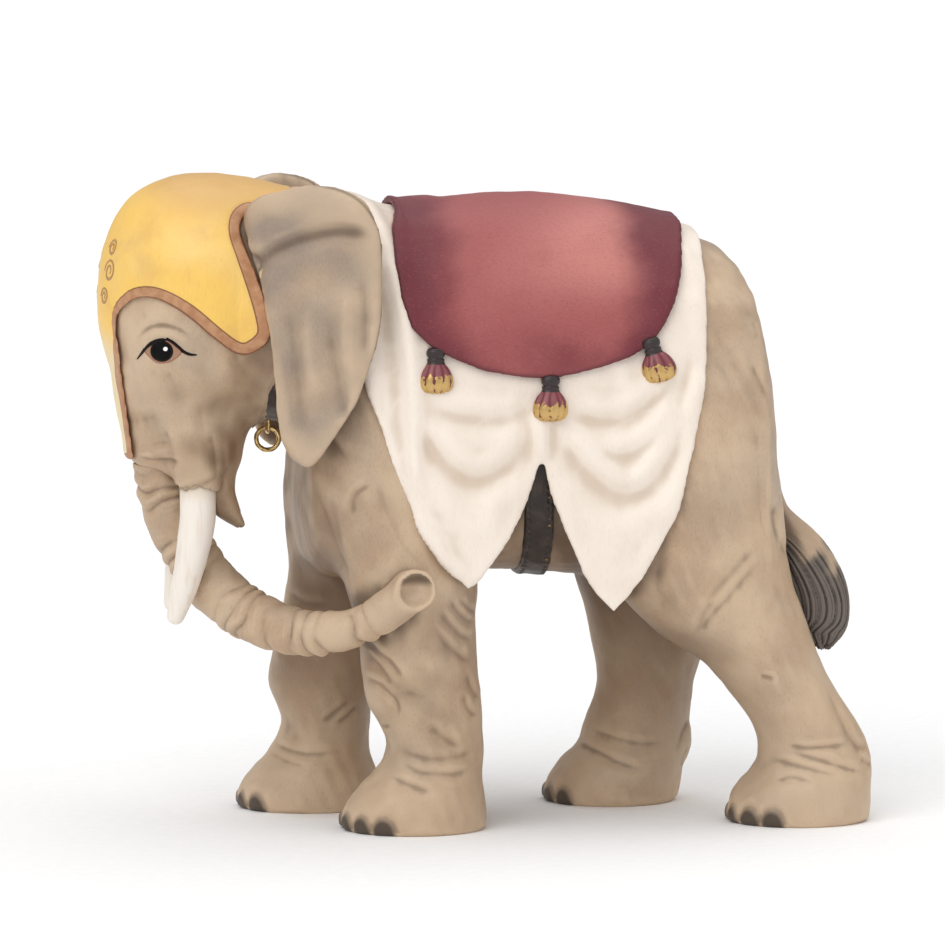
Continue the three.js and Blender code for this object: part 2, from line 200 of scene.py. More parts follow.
def meshOver(grid, field, subdivide=True):
    volume = openvdb.FloatGrid(1.0)
    volume.copyFromArray(np.ascontiguousarray(field, np.float32))
    points, quads = volume.convertToQuads()
    points = points.astype(float) * grid["step"] + grid["low"]
    mesh = bpy.data.meshes.new("form")
    mesh.from_pydata(points, [], quads)
    if subdivide:
        carrier = bpy.data.objects.new("form", mesh)
        bpy.context.scene.collection.objects.link(carrier)
        carrier.modifiers.new("round", "SUBSURF").levels = 1
        depsgraph = bpy.context.evaluated_depsgraph_get()
        finer = bpy.data.meshes.new_from_object(carrier.evaluated_get(depsgraph))
        bpy.data.objects.remove(carrier)
        bpy.data.meshes.remove(mesh)
        mesh = finer
    return mesh


def readPoints(mesh):
    points = np.zeros(len(mesh.vertices) * 3)
    mesh.vertices.foreach_get("co", points)
    return points.reshape(-1, 3)


def readNormals(mesh):
    mesh.update()
    normals = np.zeros(len(mesh.vertices) * 3)
    mesh.vertices.foreach_get("normal", normals)
    return normals.reshape(-1, 3)


def writePoints(mesh, points):
    mesh.vertices.foreach_set("co", np.ascontiguousarray(points, np.float32).ravel())
    mesh.update()


def setPaint(mesh, paint):  # each named value goes on the points, for the materials to read
    for name, values in paint.items():
        attribute = mesh.attributes.get(name) or mesh.attributes.new(name, "FLOAT", "POINT")
        attribute.data.foreach_set("value", np.asarray(values, np.float32))


def neighbourMeans(mesh):
    edges = np.zeros(len(mesh.edges) * 2, np.int32)
    mesh.edges.foreach_get("vertices", edges)
    a, b = edges.reshape(-1, 2).T
    count = len(mesh.vertices)
    share = 1 / np.maximum(np.bincount(a, minlength=count) + np.bincount(b, minlength=count), 1)

    def mean(values):
        return np.stack([(np.bincount(a, v[b], count) + np.bincount(b, v[a], count)) * share
                         for v in values.T], -1)
    return mean


def hollowness(mesh, rounds):  # how far each point lies below its surroundings, mm
    mean = neighbourMeans(mesh)
    points = readPoints(mesh)
    level = points
    for _ in range(rounds):
        level = mean(level)
    return ((level - points) * readNormals(mesh)).sum(1)


def finishPiece(name, mesh, body, material, replaced=()):
    mesh.name = name
    writePoints(mesh, toFrame(readPoints(mesh)))
    mesh.shade_smooth()
    piece = bpy.data.objects.new(name, mesh)
    bpy.context.scene.collection.objects.link(piece)
    mesh.materials.clear()
    mesh.materials.append(material)
    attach(piece, body)
    if replaced:
        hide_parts(*replaced)
    print(f"{name}: {len(mesh.vertices)} points")
    return piece


def sawn(mesh, point, normal):  # the part of a mesh behind a plane, closed by a flat face
    work = bmesh.new()
    work.from_mesh(mesh)
    geometry = work.verts[:] + work.edges[:] + work.faces[:]
    bmesh.ops.bisect_plane(work, geom=geometry, plane_co=point, plane_no=normal, clear_outer=True)
    rim = [edge for edge in work.edges if edge.is_boundary]
    if rim:
        made = bmesh.ops.edgeloop_fill(work, edges=rim)["faces"]
        for face in made:
            face.smooth = False
        for edge in rim:
            edge.smooth = False
        bmesh.ops.recalc_face_normals(work, faces=work.faces[:])
    part = bpy.data.meshes.new("part")
    work.to_mesh(part)
    work.free()
    return part


def turnedOut(points, faces):  # a mesh whose faces all point outwards
    mesh = bpy.data.meshes.new("closed")
    mesh.from_pydata(points, [], faces)
    work = bmesh.new()
    work.from_mesh(mesh)
    bmesh.ops.recalc_face_normals(work, faces=work.faces[:])
    work.to_mesh(mesh)
    work.free()
    return mesh


def sheetMesh(front, back):  # a closed shell between two grids of points
    rows, columns = front.shape[:2]
    count = rows * columns
    index = np.arange(count).reshape(rows, columns)
    a, b, c, d = index[:-1, :-1], index[1:, :-1], index[1:, 1:], index[:-1, 1:]
    faces = np.stack([a, b, c, d], -1).reshape(-1, 4)
    edge = np.concatenate([index[0, :-1], index[:-1, -1], index[-1, :0:-1], index[:0:-1, 0]])
    after = np.roll(edge, -1)
    walls = np.stack([edge, after, after + count, edge + count], -1)
    return turnedOut(np.vstack([front.reshape(-1, 3), back.reshape(-1, 3)]),
                     np.vstack([faces, faces[:, ::-1] + count, walls]).tolist())


def tubeMesh(rings, closed=False):  # rings of points joined into a closed skin
    rings = np.asarray(rings)
    count, around = rings.shape[:2]
    index = np.arange(count * around).reshape(count, around)
    ahead = np.roll(index, -1, 0) if closed else index[1:]
    here = index if closed else index[:-1]
    faces = np.stack([here, np.roll(here, -1, 1), np.roll(ahead, -1, 1), ahead], -1).reshape(-1, 4)
    faces = faces.tolist()
    if not closed:
        faces += [index[0].tolist(), index[-1].tolist()]
    return turnedOut(rings.reshape(-1, 3), faces)


def fold(path, width, depth, **more):  # a fold line in the side view
    return {"path": path, "width": width, "depth": depth, **more}


def mirrored(folds):
    return [{**line, "sides": (-1, 1)} for line in folds]


# Carves soft lines into one or both sides of a form. Each line is in the side view, x and z.
# A depth below 0 raises a ridge. Returns how far to push each point out, and the dark paint left in it: stain
# and painted shade.
def carveLines(points, normals, lines):
    push, stain = np.zeros(len(points)), np.zeros(len(points))
    for line in lines:
        path = smoothPath(line["path"]) if len(line["path"]) > 1 else np.array(line["path"] * 2, float)
        width, depth = line["width"], line["depth"]
        reach = width * 3.2
        near = np.all(points[:, ::2] > path.min(0) - reach, 1)
        near &= np.all(points[:, ::2] < path.max(0) + reach, 1)
        for side in line.get("sides", (-1,)):
            middle = line.get("at", -30) * (-side)
            facing = fade(normals[:, 1] * side, 0.02, 0.35) * (np.abs(points[:, 1] - middle) < 15)
            chosen = np.nonzero(near & (facing > 0))[0]
            if not len(chosen):
                continue
            away, share = pathDistance(points[chosen, 0], points[chosen, 2], path)
            ends = line.get("ends", 0.25)
            taper = fade(share, -0.01, ends) * fade(1 - share, -0.01, ends) if len(line["path"]) > 1 else 1
            away = away * line.get("lean", 1) / width
            if depth > 0:  # steep under the fold, easy on the other side
                cut = np.exp(-(away / np.where(away > 0, 0.7, 1.5)) ** 2)
                lips = np.exp(-((away - 1.7) / 1.0) ** 2) + 0.35 * np.exp(-((away + 2.6) / 1.2) ** 2)
                cut = cut - lips * line.get("lips", 0.4)
            else:
                cut = np.exp(-away ** 2)
            push[chosen] -= facing[chosen] * taper * depth * cut
            # a dark line along the bottom of the crease: stain and painted shade
            mark = np.exp(-((away + 0.1) / 0.42) ** 2) * taper * facing[chosen]
            stain[chosen] = np.maximum(stain[chosen], mark * line.get("stain", 0.13 if depth > 0 else 0))
    return push, stain


# Cloth and ear folds: the same lines drawn on a flat side-view map first and softened there, so
# that neighbouring folds run into each other. Returns the push, and the stain and painted shade, at each
# point.
def foldRelief(points, normals, folds, side, soften=1):
    low, high = points[:, ::2].min(0) - 1, points[:, ::2].max(0) + 1
    step = 0.5
    counts = np.ceil((high - low) / step).astype(int) + 1
    x, z = np.meshgrid(*(a + step * np.arange(n) for a, n in zip(low, counts)), indexing="ij")
    spots = np.stack([x.ravel(), np.full(x.size, side * 30.0), z.ravel()], -1)
    outward = np.tile((0.0, float(side), 0.0), (x.size, 1))
    lines = [{**line, "sides": (side,), "at": -30} for line in folds]
    maps = carveLines(spots, outward, lines)
    plan = {"low": low, "step": step}
    push, stain = (sampled(plan, blurred(part.reshape(x.shape), soften), points[:, ::2]) for part in maps)
    facing = fade(normals[:, 1] * side, 0.02, 0.4) * (points[:, 1] * side > 0)
    return push * facing, stain * facing


# Materials.

def linear(hexColour):  # sRGB hex to linear
    parts = [int(hexColour[i:i + 2], 16) / 255 for i in (1, 3, 5)]
    return tuple(c / 12.92 if c <= 0.04045 else ((c + 0.055) / 1.055) ** 2.4 for c in parts) + (1,)


def addNode(tree, kind, settings, inputs):
    node = tree.nodes.new("ShaderNode" + kind)
    for key, value in settings.items():
        setattr(node, key, value)
    for key, value in inputs.items():
        if isinstance(value, bpy.types.NodeSocket):
            tree.links.new(value, node.inputs[key])
        else:
            node.inputs[key].default_value = value
    return node


def newMaterial(name):
    material = bpy.data.materials.new(name)
    material.use_nodes = True
    tree = material.node_tree
    tree.nodes.clear()
    place = addNode(tree, "TexCoord", {}, {}).outputs["Object"]
    return material, tree, place


def closeMaterial(tree, colour, sockets, relief=None, depth=0.0):  # the relief's depth is in metres
    inputs = {"Base Color": colour, **sockets}
    if relief is not None:
        bump = addNode(tree, "Bump", {}, {"Height": relief, "Strength": 1.0, "Distance": depth})
        inputs["Normal"] = bump.outputs["Normal"]
    shader = addNode(tree, "BsdfPrincipled", {}, inputs)
    addNode(tree, "OutputMaterial", {}, {"Surface": shader.outputs["BSDF"]})


# An uneven pattern about size mm across, drawn out along the axes where stretch is over 1.
def pattern(tree, place, size, stretch=(1, 1, 1), detail=3.0):
    scale = [1000 / size / part for part in stretch]
    vector = addNode(tree, "Mapping", {}, {"Vector": place, "Scale": scale}).outputs["Vector"]
    return addNode(tree, "TexNoise", {}, {"Vector": vector, "Scale": 1.0, "Detail": detail}).outputs["Fac"]


# A source is a pattern, or the name of a value on the points. It is brought from low and high to
# first and last, softly or evenly.
def spread(tree, source, low, high, first=0.0, last=1.0, even=False):
    if isinstance(source, str):
        source = addNode(tree, "Attribute", {"attribute_name": source}, {}).outputs["Fac"]
    span = {"Value": source, "From Min": low, "From Max": high, "To Min": first, "To Max": last}
    ease = {"interpolation_type": "LINEAR" if even else "SMOOTHSTEP"}
    return addNode(tree, "MapRange", ease, span).outputs["Result"]


# Lays coats over a colour. A coat is its paint, its source, the source's values where it starts and
# where it is full, how much of it there is then, and True if it comes in evenly.
def coated(tree, colour, coats):
    for paint, source, low, high, share, *even in coats:
        paint = linear(paint) if isinstance(paint, str) else paint
        amount = spread(tree, source, low, high, 0.0, share, bool(even))
        colour = addNode(tree, "Mix", {"data_type": "RGBA"}, {0: amount, 6: colour, 7: paint}).outputs[2]
    return colour


skinLook = {
    "warm": "#BC9F82", "light": "#CFB699", "grey": "#9B8A7B", "recess": "#675342",
    "crease": "#4E3D2F", "dusk": "#5F452E", "nail": "#52463B", "hair": "#6E645C", "hairDark": "#3F3835",
    "greying": 0.38, "pore": 0.2, "grain": 0.00004,
}


# Maple, carved and glazed with thinned oil stain: matt to satin, with fine fibre specks,
# stain and painted shade gathered in the cuts, hollows and recesses and under the body, painted light on the
# ridges and open crests.
def carvedMapleGlaze():
    look = skinLook
    light, recess = look["light"], look["recess"]
    material, tree, place = newMaterial("carvedMapleGlaze")
    colour = coated(tree, linear(look["warm"]), [(light, pattern(tree, place, 16), 0.35, 0.65, 1)])
    greying = spread(tree, pattern(tree, place, 26, detail=4), 0.42, 0.66)
    greyShare = addNode(tree, "Math", {"operation": "MULTIPLY_ADD", "use_clamp": True},
                        {0: greying, 1: look["greying"], 2: spread(tree, "wash", 0, 1, even=True)})
    specks = pattern(tree, place, 0.4, (0.8, 0.8, 2.4), 2)  # fibre ends, drawn coarse enough to show
    # the hair darker in its hollows: painted shade
    hair = coated(tree, linear(look["hair"]), [(look["hairDark"], "fineHollow", -0.05, 0.08, 1)])
    colour = coated(tree, colour, [
        (look["grey"], greyShare.outputs[0], 0, 1, 1, True),
        (recess, specks, 0.5, 0.78, look["pore"]),
        (light, specks, 0.46, 0.22, 0.16),
        # painted light on the open crests
        (light, "crestLight", 0, 1, 0.55),
        # places painted paler
        (light, "rubbed", 0, 1, 1, True),
        # painted shade, with stain, in the recesses
        (recess, "recess", 0, 1, 0.78),
        # painted shade, with stain, in the broad and fine hollows, and painted light on the small bumps
        (recess, "broadHollow", 0, 0.7, 0.45),
        (recess, "fineHollow", 0, 0.1, 0.32),
        (light, "fineHollow", -0.01, -0.09, 0.55),
        # painted shade under the body, between the legs and in spots
        (look["dusk"], "dusk", 0, 1, 0.72, True),
        # stain and painted shade in the creases
        (look["crease"], "stain", 0, 1, 1, True),
        (hair, "hair", 0, 1, 1),
        (look["nail"], "nail", -0.35, 0.3, 1),
    ])
    closeMaterial(tree, colour, {"Roughness": 0.5, "IOR": 1.42}, specks, look["grain"])
    return material


tuskLook = {"ivory": "#F3EADF", "base": "#D9C7AE"}


# Gesso and ivory-white oil paint on turned maple: smooth, faintly satin, warmer where it was wiped.
def ivoryPaint():
    material, tree, place = newMaterial("ivoryPaint")
    streak = pattern(tree, place, 3, (0.5, 0.5, 5))
    colour = coated(tree, linear(tuskLook["ivory"]), [
        (tuskLook["base"], streak, 0.45, 0.75, 0.45),
        (tuskLook["base"], "root", 0, 1, 0.8),
    ])
    closeMaterial(tree, colour, {"Roughness": 0.38, "IOR": 1.5}, streak, 0.00004)
    return material


capLook = {
    "yellow": "#F6C862", "pale": "#F3D290", "tan": "#CFA063", "band": "#AD7953",
    "bandLight": "#C08F68", "bandDark": "#7A4B2E", "edge": "#E9D7AE",
}


# Golden oil glaze over white ground on carved maple: soft satin, clouded with tan, with painted shade in tan
# on top and in brown in the recesses, with a brown border brushed on between thin darker lines.
def goldenGlaze():
    look = capLook
    material, tree, place = newMaterial("goldenGlaze")
    fibre = pattern(tree, place, 0.6, (0.7, 0.7, 3.5), 2)
    band = coated(tree, linear(look["band"]), [
        (look["bandLight"], pattern(tree, place, 2.2), 0.35, 0.7, 1),
        (look["bandDark"], "border", 0.72, 0.9, 1),  # the border is 0 in its middle and 1 at its edges
    ])
    colour = coated(tree, linear(look["yellow"]), [
        (look["pale"], pattern(tree, place, 22, detail=2), 0.4, 0.7, 0.4),
        # painted shade on the top of the cap
        (look["tan"], "top", 0, 1, 0.7),
        (look["tan"], pattern(tree, place, 9, detail=4), 0.5, 0.72, 0.3),
        (look["tan"], fibre, 0.5, 0.8, 0.22),
        (look["edge"], "forehead", 0, 1, 1, True),
        # painted shade in the recesses of the cap
        (look["band"], "recess", 0, 1, 0.45),
        (band, "border", 1.08, 0.94, 1),
    ])
    closeMaterial(tree, colour, {"Roughness": 0.42, "IOR": 1.5}, fibre, 0.00004)
    return material


scrollLook = {"brown": "#B98F5C", "edge": "#A67C4C"}


# Thin brown oil paint from a fine brush, satin, darker at the edges of the stroke.
def scrollPaint():
    material, tree, place = newMaterial("scrollPaint")
    colour = coated(tree, linear(scrollLook["brown"]), [(scrollLook["edge"], "across", 0.35, 0.6, 1)])
    closeMaterial(tree, colour, {"Roughness": 0.45, "IOR": 1.5})
    return material


drapeLook = {"cream": "#F5E9DC", "shade": "#D3BFAA", "deep": "#BCA288"}


# Cream oil paint over carved maple folds, dry satin: beige painted shade in the folds and recesses, with
# stain and painted shade along their grooves, and faint upright brush marks.
def creamDrapePaint():
    look = drapeLook
    material, tree, place = newMaterial("creamDrapePaint")
    fibre = pattern(tree, place, 0.6, (0.7, 0.7, 3), 2)
    colour = coated(tree, linear(look["cream"]), [
        (look["shade"], pattern(tree, place, 5, (1, 1, 5), 4), 0.45, 0.85, 0.28),
        (look["shade"], pattern(tree, place, 26, detail=2), 0.42, 0.7, 0.3),
        # painted shade in the recesses and hollows of the folds
        (look["shade"], "recess", 0, 1, 0.5),
        (look["shade"], "broadHollow", -0.1, 0.8, 0.6),
        (look["shade"], "fineHollow", 0.01, 0.09, 0.45),
        # stain and painted shade along the fold grooves
        (look["deep"], "stain", 0, 1, 1, True),
        (look["deep"], fibre, 0.5, 0.8, 0.12),
    ])
    closeMaterial(tree, colour, {"Roughness": 0.45, "IOR": 1.5}, fibre, 0.00004)
    return material


saddleLook = {"rose": "#A05554", "pink": "#C67E76", "wine": "#6E2C35", "edge": "#5E2A31", "rim": "#C07A74"}


# Wine-red oil glaze, thin enough that the maple's fibres show as fine specks, with a painted highlight over
# the crown and painted shade towards the edges.
def wineGlaze():
    look = saddleLook
    material, tree, place = newMaterial("wineGlaze")
    cloud = spread(tree, pattern(tree, place, 18), 0.4, 0.7, -0.5, 0.5, even=True)
    # painted shade towards the edges, clouded
    saddleShade = addNode(tree, "Attribute", {"attribute_name": "saddleShade"}, {}).outputs["Fac"]
    depth = addNode(tree, "Math", {"operation": "MULTIPLY_ADD"}, {0: cloud, 1: 0.4, 2: saddleShade})
    fibre = pattern(tree, place, 0.5, (1.3, 1, 0.8))  # fibre ends, drawn coarse enough to show
    colour = coated(tree, linear(look["rose"]), [
        # painted highlight over the crown
        (look["pink"], "saddleHighlight", 0, 1, 1),
        (look["wine"], depth.outputs[0], 0, 1, 1),
        (look["wine"], fibre, 0.5, 0.75, 0.24),
        (look["pink"], fibre, 0.45, 0.25, 0.16),
        # a band of painted shade just inside the edge, and a thin painted highlight on the edge itself
        (look["edge"], "rim", 1.5, 0.2, 0.75),
        (look["rim"], "rim", 0.25, -0.35, 0.8),
    ])
    closeMaterial(tree, colour, {"Roughness": 0.5, "IOR": 1.4}, fibre, 0.00005)
    return material


tasselLook = {"wine": "#6B2F36", "wineLight": "#8E4B50", "knot": "#2E2322", "gilt": "#CDAA6C"}


# Wine-red lacquer with the lower half brushed with gold bronze, which shines only where it caught.
def tasselLacquer():
    look = tasselLook
    material, tree, place = newMaterial("tasselLacquer")
    patchy = pattern(tree, place, 1.1, detail=4)
    brushed = addNode(tree, "Attribute", {"attribute_name": "gilt"}, {}).outputs["Fac"]
    reach = addNode(tree, "Math", {"operation": "ADD"},
                    {0: brushed, 1: spread(tree, patchy, 0.3, 0.7, -0.35, 0.35, even=True)})
    gilt = spread(tree, reach.outputs[0], 0.42, 0.6)
    colour = coated(tree, linear(look["wine"]), [
        (look["wineLight"], "ridge", 0.2, 1, 1),
        (look["knot"], "knot", 0.3, 0.7, 1),
        (look["gilt"], gilt, 0, 1, 1, True),
    ])
    shine = spread(tree, gilt, 0, 1, 0, 0.7, even=True)
    closeMaterial(tree, colour, {"Roughness": 0.36, "IOR": 1.5, "Metallic": shine}, patchy, 0.00006)
    return material


strapLook = {"leather": "#2E221B", "worn": "#4A3A2F", "gilt": "#B9914A"}


# Black-brown oil paint imitating leather, low sheen, with gold bronze dots along the edges.
def strapPaint():
    look = strapLook
    material, tree, place = newMaterial("strapPaint")
    wear = pattern(tree, place, 2.5, (1, 1, 3))
    dots = spread(tree, "bead", 0.35, 0.6)
    colour = coated(tree, linear(look["leather"]), [
        (look["worn"], wear, 0.45, 0.75, 1),
        (look["gilt"], dots, 0, 1, 1, True),
    ])
    shine = spread(tree, dots, 0, 1, 0, 0.8, even=True)
    closeMaterial(tree, colour, {"Roughness": 0.45, "IOR": 1.5, "Metallic": shine}, wear, 0.00005)
    return material


brassLook = {"brass": "#E6C88C", "dulled": "#9A7A42"}


# Drawn brass wire, soft polish gone slightly dull: warm yellow with small darker stains.
def drawnBrass():
    material, tree, place = newMaterial("drawnBrass")
    dulling = pattern(tree, place, 1.2, detail=4)
    colour = coated(tree, linear(brassLook["brass"]), [(brassLook["dulled"], dulling, 0.45, 0.75, 0.6)])
    roughness = spread(tree, dulling, 0.3, 0.7, 0.22, 0.4)
    closeMaterial(tree, colour, {"Roughness": roughness, "Metallic": 1.0}, dulling, 0.00003)
    return material


eyeLook = {"iris": "#070505", "ring": "#20140F", "rim": "#A5836B", "corner": "#A06A58", "glintDot": "#FFFFFF"}


# Black enamel iris with one white dot painted as a highlight, semi-matt, in a flesh-pink painted lid.
def eyeEnamel():
    look = eyeLook
    material, tree, place = newMaterial("eyeEnamel")
    colour = coated(tree, linear(look["rim"]), [
        (look["corner"], "corner", 0, 1, 1),
        (look["ring"], "iris", -0.12, 0.12, 1),
        (look["iris"], "iris", 0.25, 0.6, 1),
        # the white dot: a painted highlight
        (look["glintDot"], "glintDot", -0.1, 0.1, 1),
    ])
    closeMaterial(tree, colour, {"Roughness": 0.4, "IOR": 1.4, "Specular IOR Level": 0.15})
    return material


# Bone-black enamel line, drawn with a fine brush: even and satin.
def blackLine():
    material, tree, place = newMaterial("blackLine")
    colour = coated(tree, linear("#0C0908"), [("#181210", pattern(tree, place, 1.5), 0.3, 0.7, 1)])
    closeMaterial(tree, colour, {"Roughness": 0.5, "IOR": 1.4, "Specular IOR Level": 0.2})
    return material


# Turned beech, bare: pale, with short flecks along the grain.
def beechDowel():
    material, tree, place = newMaterial("beechDowel")
    fleck = pattern(tree, place, 0.8, (4, 0.7, 0.7))
    colour = coated(tree, linear("#DABF96"), [("#B08C60", fleck, 0.4, 0.75, 1)])
    closeMaterial(tree, colour, {"Roughness": 0.65, "IOR": 1.5}, fleck, 0.00005)
    return material


# Seamless white card, matt.
def whiteCard():
    material, tree, place = newMaterial("whiteCard")
    colour = coated(tree, linear("#FFFFFF"), [("#FCFCFD", pattern(tree, place, 3), 0.3, 0.7, 1)])
    closeMaterial(tree, colour, {"Roughness": 0.9})
    return material


finishes = {
    "skin": carvedMapleGlaze(), "ivory": ivoryPaint(), "golden": goldenGlaze(), "scroll": scrollPaint(),
    "cream": creamDrapePaint(), "wine": wineGlaze(), "tassel": tasselLacquer(), "strap": strapPaint(),
    "brass": drawnBrass(), "eye": eyeEnamel(), "line": blackLine(), "beech": beechDowel(),
    "card": whiteCard(),
}
print("materials made")

# The figure's rows: place along the axis, low, high, middle across, half width.

torsoRows = [
    (-48.5, 72, 83, 0, 10), (-46.5, 66, 93, 0, 18), (-42, 62, 108, 0, 24), (-34, 60, 136, 0, 29),
    (-24, 60, 146.6, 0, 31.5), (-8, 61, 148.8, 0, 33.5), (10, 61, 149.5, 0, 34.5),
    (26, 59, 148, 0, 34.5), (41, 57, 145.5, 0, 34), (52, 57, 142.8, 0, 33), (60, 59, 138, 0, 30),
    (65.5, 66, 129, 0, 24), (68, 80, 114, 0, 12),
]
neckRows = [
    (-64, 108, 146, 0, 20), (-56, 100.4, 153, 0, 26), (-50, 99.4, 153.5, 0, 28.5),
    (-44, 93.5, 153, 0, 29.5), (-34, 82, 150.8, 0, 31), (-22, 78, 145.4, 0, 31),
]
headRows = [
    (84, -76.4, -66, 0, 15.5), (88, -80.4, -62.5, 0, 18), (92, -85.6, -61, 0, 18.5),
    (98, -87.6, -58.5, 0, 19.5), (104, -89.2, -55, 0, 21.5), (110, -90.8, -52.5, 0, 23.5),
    (117, -92.9, -50, 0, 25), (125, -94.3, -48, 0, 25.5), (133, -93.4, -47, 0, 25.5),
    (141, -90.4, -47, 0, 24.3), (144, -87.6, -49, 0, 22),
]
lipRows = [
    (72, -61.6, -59.2, 0, 1.2), (75, -66.4, -60.4, 0, 3.6), (79, -68.6, -61.8, 0, 5.5),
    (84, -70, -62.4, 0, 7), (90, -74, -61, 0, 9), (98, -82, -60, 0, 14),
]
leftForelegRows = [
    (0, -38.6, -3.2, -21.5, 16), (4, -38.4, -3.2, -21.5, 16.3), (9, -35, -3.7, -21.5, 15.6),
    (14, -30.5, -4.3, -21.5, 13.8), (19, -27.5, -4.2, -21.5, 12.6), (32, -32.5, -5, -21.5, 13.5),
    (46, -34, -6, -21.5, 14), (60, -37.5, -5.5, -21.5, 15), (80, -42, -5, -21, 14.5),
    (102, -42, -9, -19.5, 12.5), (120, -36, -14, -17, 8),
]
rightForelegRows = [
    (0, -59, -22.7, 21.5, 16), (4, -59, -23, 21.5, 16.3), (9, -55.5, -24.5, 21.5, 15.6),
    (14, -51, -26, 21.5, 13.8), (20, -48, -26, 21.5, 12.6), (32, -50.9, -25, 21.5, 13.5),
    (44, -48.4, -21, 21.5, 14), (58, -46, -14, 21.5, 15), (80, -45, -7, 21, 14.5),
    (102, -43, -9, 19.5, 12.5), (120, -36, -14, 17, 8),
]
leftHindLegRows = [
    (0, 57, 92, -21.5, 16), (4, 57.3, 92.4, -21.5, 16.3), (9, 60, 92.5, -21.5, 15.6),
    (14, 64.5, 92.8, -21.5, 13.8), (19, 65, 91.5, -21.5, 12.4), (30, 59.5, 85, -21.5, 12.6),
    (40, 50, 80, -21.5, 13.5), (48, 38.5, 76.5, -21.5, 15), (58, 29, 73, -21.5, 16.3),
    (80, 24, 70, -20, 16.3), (105, 28, 67, -19, 14), (125, 36, 60, -17, 8),
]
rightHindLegRows = [
    (0, 18.5, 52, 21.5, 16), (4, 18.7, 52.6, 21.5, 16.3), (9, 22, 53.6, 21.5, 15.6),
    (14, 27, 55.6, 21.5, 13.8), (19, 29, 55.3, 21.5, 12.4), (32, 32.3, 56.8, 21.5, 12.8),
    (40, 31, 60, 21.5, 13.5), (48, 29.5, 64, 21.5, 15), (58, 26, 69, 21.5, 16.3),
    (80, 24, 70, 20, 16.3), (105, 28, 67, 19, 14), (125, 36, 60, 17, 8),
]
drapeRows = [
    (-42, -10, 151.5, 0, 31.5), (-34, -10, 153.8, 0, 34), (-28.5, -10, 151.6, 0, 35.2),
    (-22, -10, 148, 0, 36), (-8, -10, 149.6, 0, 37.6), (10, -10, 150.7, 0, 38), (28, -10, 148.8, 0, 38.4),
    (42, -10, 145.4, 0, 38), (54, -10, 143.2, 0, 36.5),
]
trunkRows = [  # x, y, z, radius
    (-80, 0, 104, 8.5), (-79.7, 0, 92, 7.9), (-78.9, 0, 81, 7.2), (-76.2, -1, 72.5, 7),
    (-72.6, -3, 65, 6.7), (-67.5, -6.5, 57.8, 6.6), (-60.5, -12, 52.2, 6.4), (-52, -19.5, 49.1, 5.9),
    (-43.5, -28, 49, 5.1), (-35, -34.5, 51.8, 4.8), (-28.5, -37.6, 56.2, 4.7), (-24.6, -38, 59.6, 4.5),
]
tailRows = [
    (65.8, 0, 124, 2.2), (67.5, -0.5, 112, 2.8), (69.2, -2, 98, 2.8), (69.8, -5, 86, 2.9),
    (71, -10, 75, 3.5), (77, -14.5, 66, 5.6), (80.2, -17.2, 57.5, 7), (81.4, -18.6, 50, 6.4),
    (81.4, -19, 46, 3.8),
]
trunkJoint = 88.5
seam = ((-4.5, 0, 60), (-1, 0, -0.136))
neckJoint = ((-57.5, 0, 99), (-1, 0, 0.147))
mouth = (-23.4, -42.7, 60.4)


# Skin: one form over the whole figure, then sawn into the glued blocks.

skinForm = {"shoulders": 9.0, "neck": 8.0, "face": 6.0, "sole": 1.6, "rump": 9.0, "crown": 6.0}


def bodyField(grid):
    form = skinForm
    field = ovalField(grid, "x", torsoRows, rounding=form["rump"])
    for rows in (leftForelegRows, rightForelegRows, leftHindLegRows, rightHindLegRows):
        field = melt(field, ovalField(grid, "z", rows, rounding=form["sole"]), form["shoulders"])
    neck = ovalField(grid, "x", neckRows)
    return melt(field, neck, form["neck"])


tuskShapes = {  # x, y, z, radius; the right one is set a little further back
    "left": [(-73, -12.6, 95, 3.8), (-73, -14, 85, 4.3), (-73, -14.6, 76, 4.4), (-74.6, -14.4, 66, 3.9),
             (-76.4, -13.4, 58.5, 3.2), (-78.2, -12.4, 52, 2.2)],
    "right": [(-73, 12.6, 95, 3.8), (-73, 14, 85, 4.3), (-73.2, 14.6, 76, 4.3), (-73.8, 14.4, 66, 3.8),
              (-75.2, 13.4, 58, 3), (-76.4, 12.4, 52.4, 2)],
}


crown = {"middle": (-70, 0, 133), "size": (23.2, 25, 25), "fullness": 2.35}


def crownField(grid):
    (x, y, z), (long, wide, tall) = crown["middle"], crown["size"]
    side = (np.abs((grid["x"] - x) / long) ** crown["fullness"]
            + np.abs((grid["z"] - z) / tall) ** crown["fullness"]) ** (1 / crown["fullness"])
    field = (np.sqrt(side ** 2 + ((grid["y"] - y) / wide) ** 2) - 1) * long
    return (field / np.clip(steepness(grid, field), 0.35, 3)).astype(np.float32)


def faceField(grid):
    form = skinForm
    head = ovalField(grid, "z", headRows, rounding=form["crown"])
    head = melt(head, crownField(grid), 3.0)
    head = melt(head, ovalField(grid, "z", lipRows, rounding=0.8), 2.5)
    root = keep(limbField(grid, trunkRows), trunkJoint - grid["z"] + np.zeros(grid["shape"], np.float32), 0.4)
    head = melt(head, root, form["face"])
    for side in (-1, 1):  # sheaths round the tusks
        sheath = [(-73.2, side * 12, 99, 5.2), (-73.2, side * 13.2, 91, 5.6), (-73, side * 14.2, 84.6, 5.2)]
        head = melt(head, limbField(grid, sheath), 5)
    for side in ("left", "right"):
        head = keep(head, -limbField(grid, tuskShapes[side], grow=0.25), 0.8)
    return head


def skinField(grid):
    neck = ovalField(grid, "x", neckRows)
    return melt(faceField(grid), neck, skinForm["neck"])


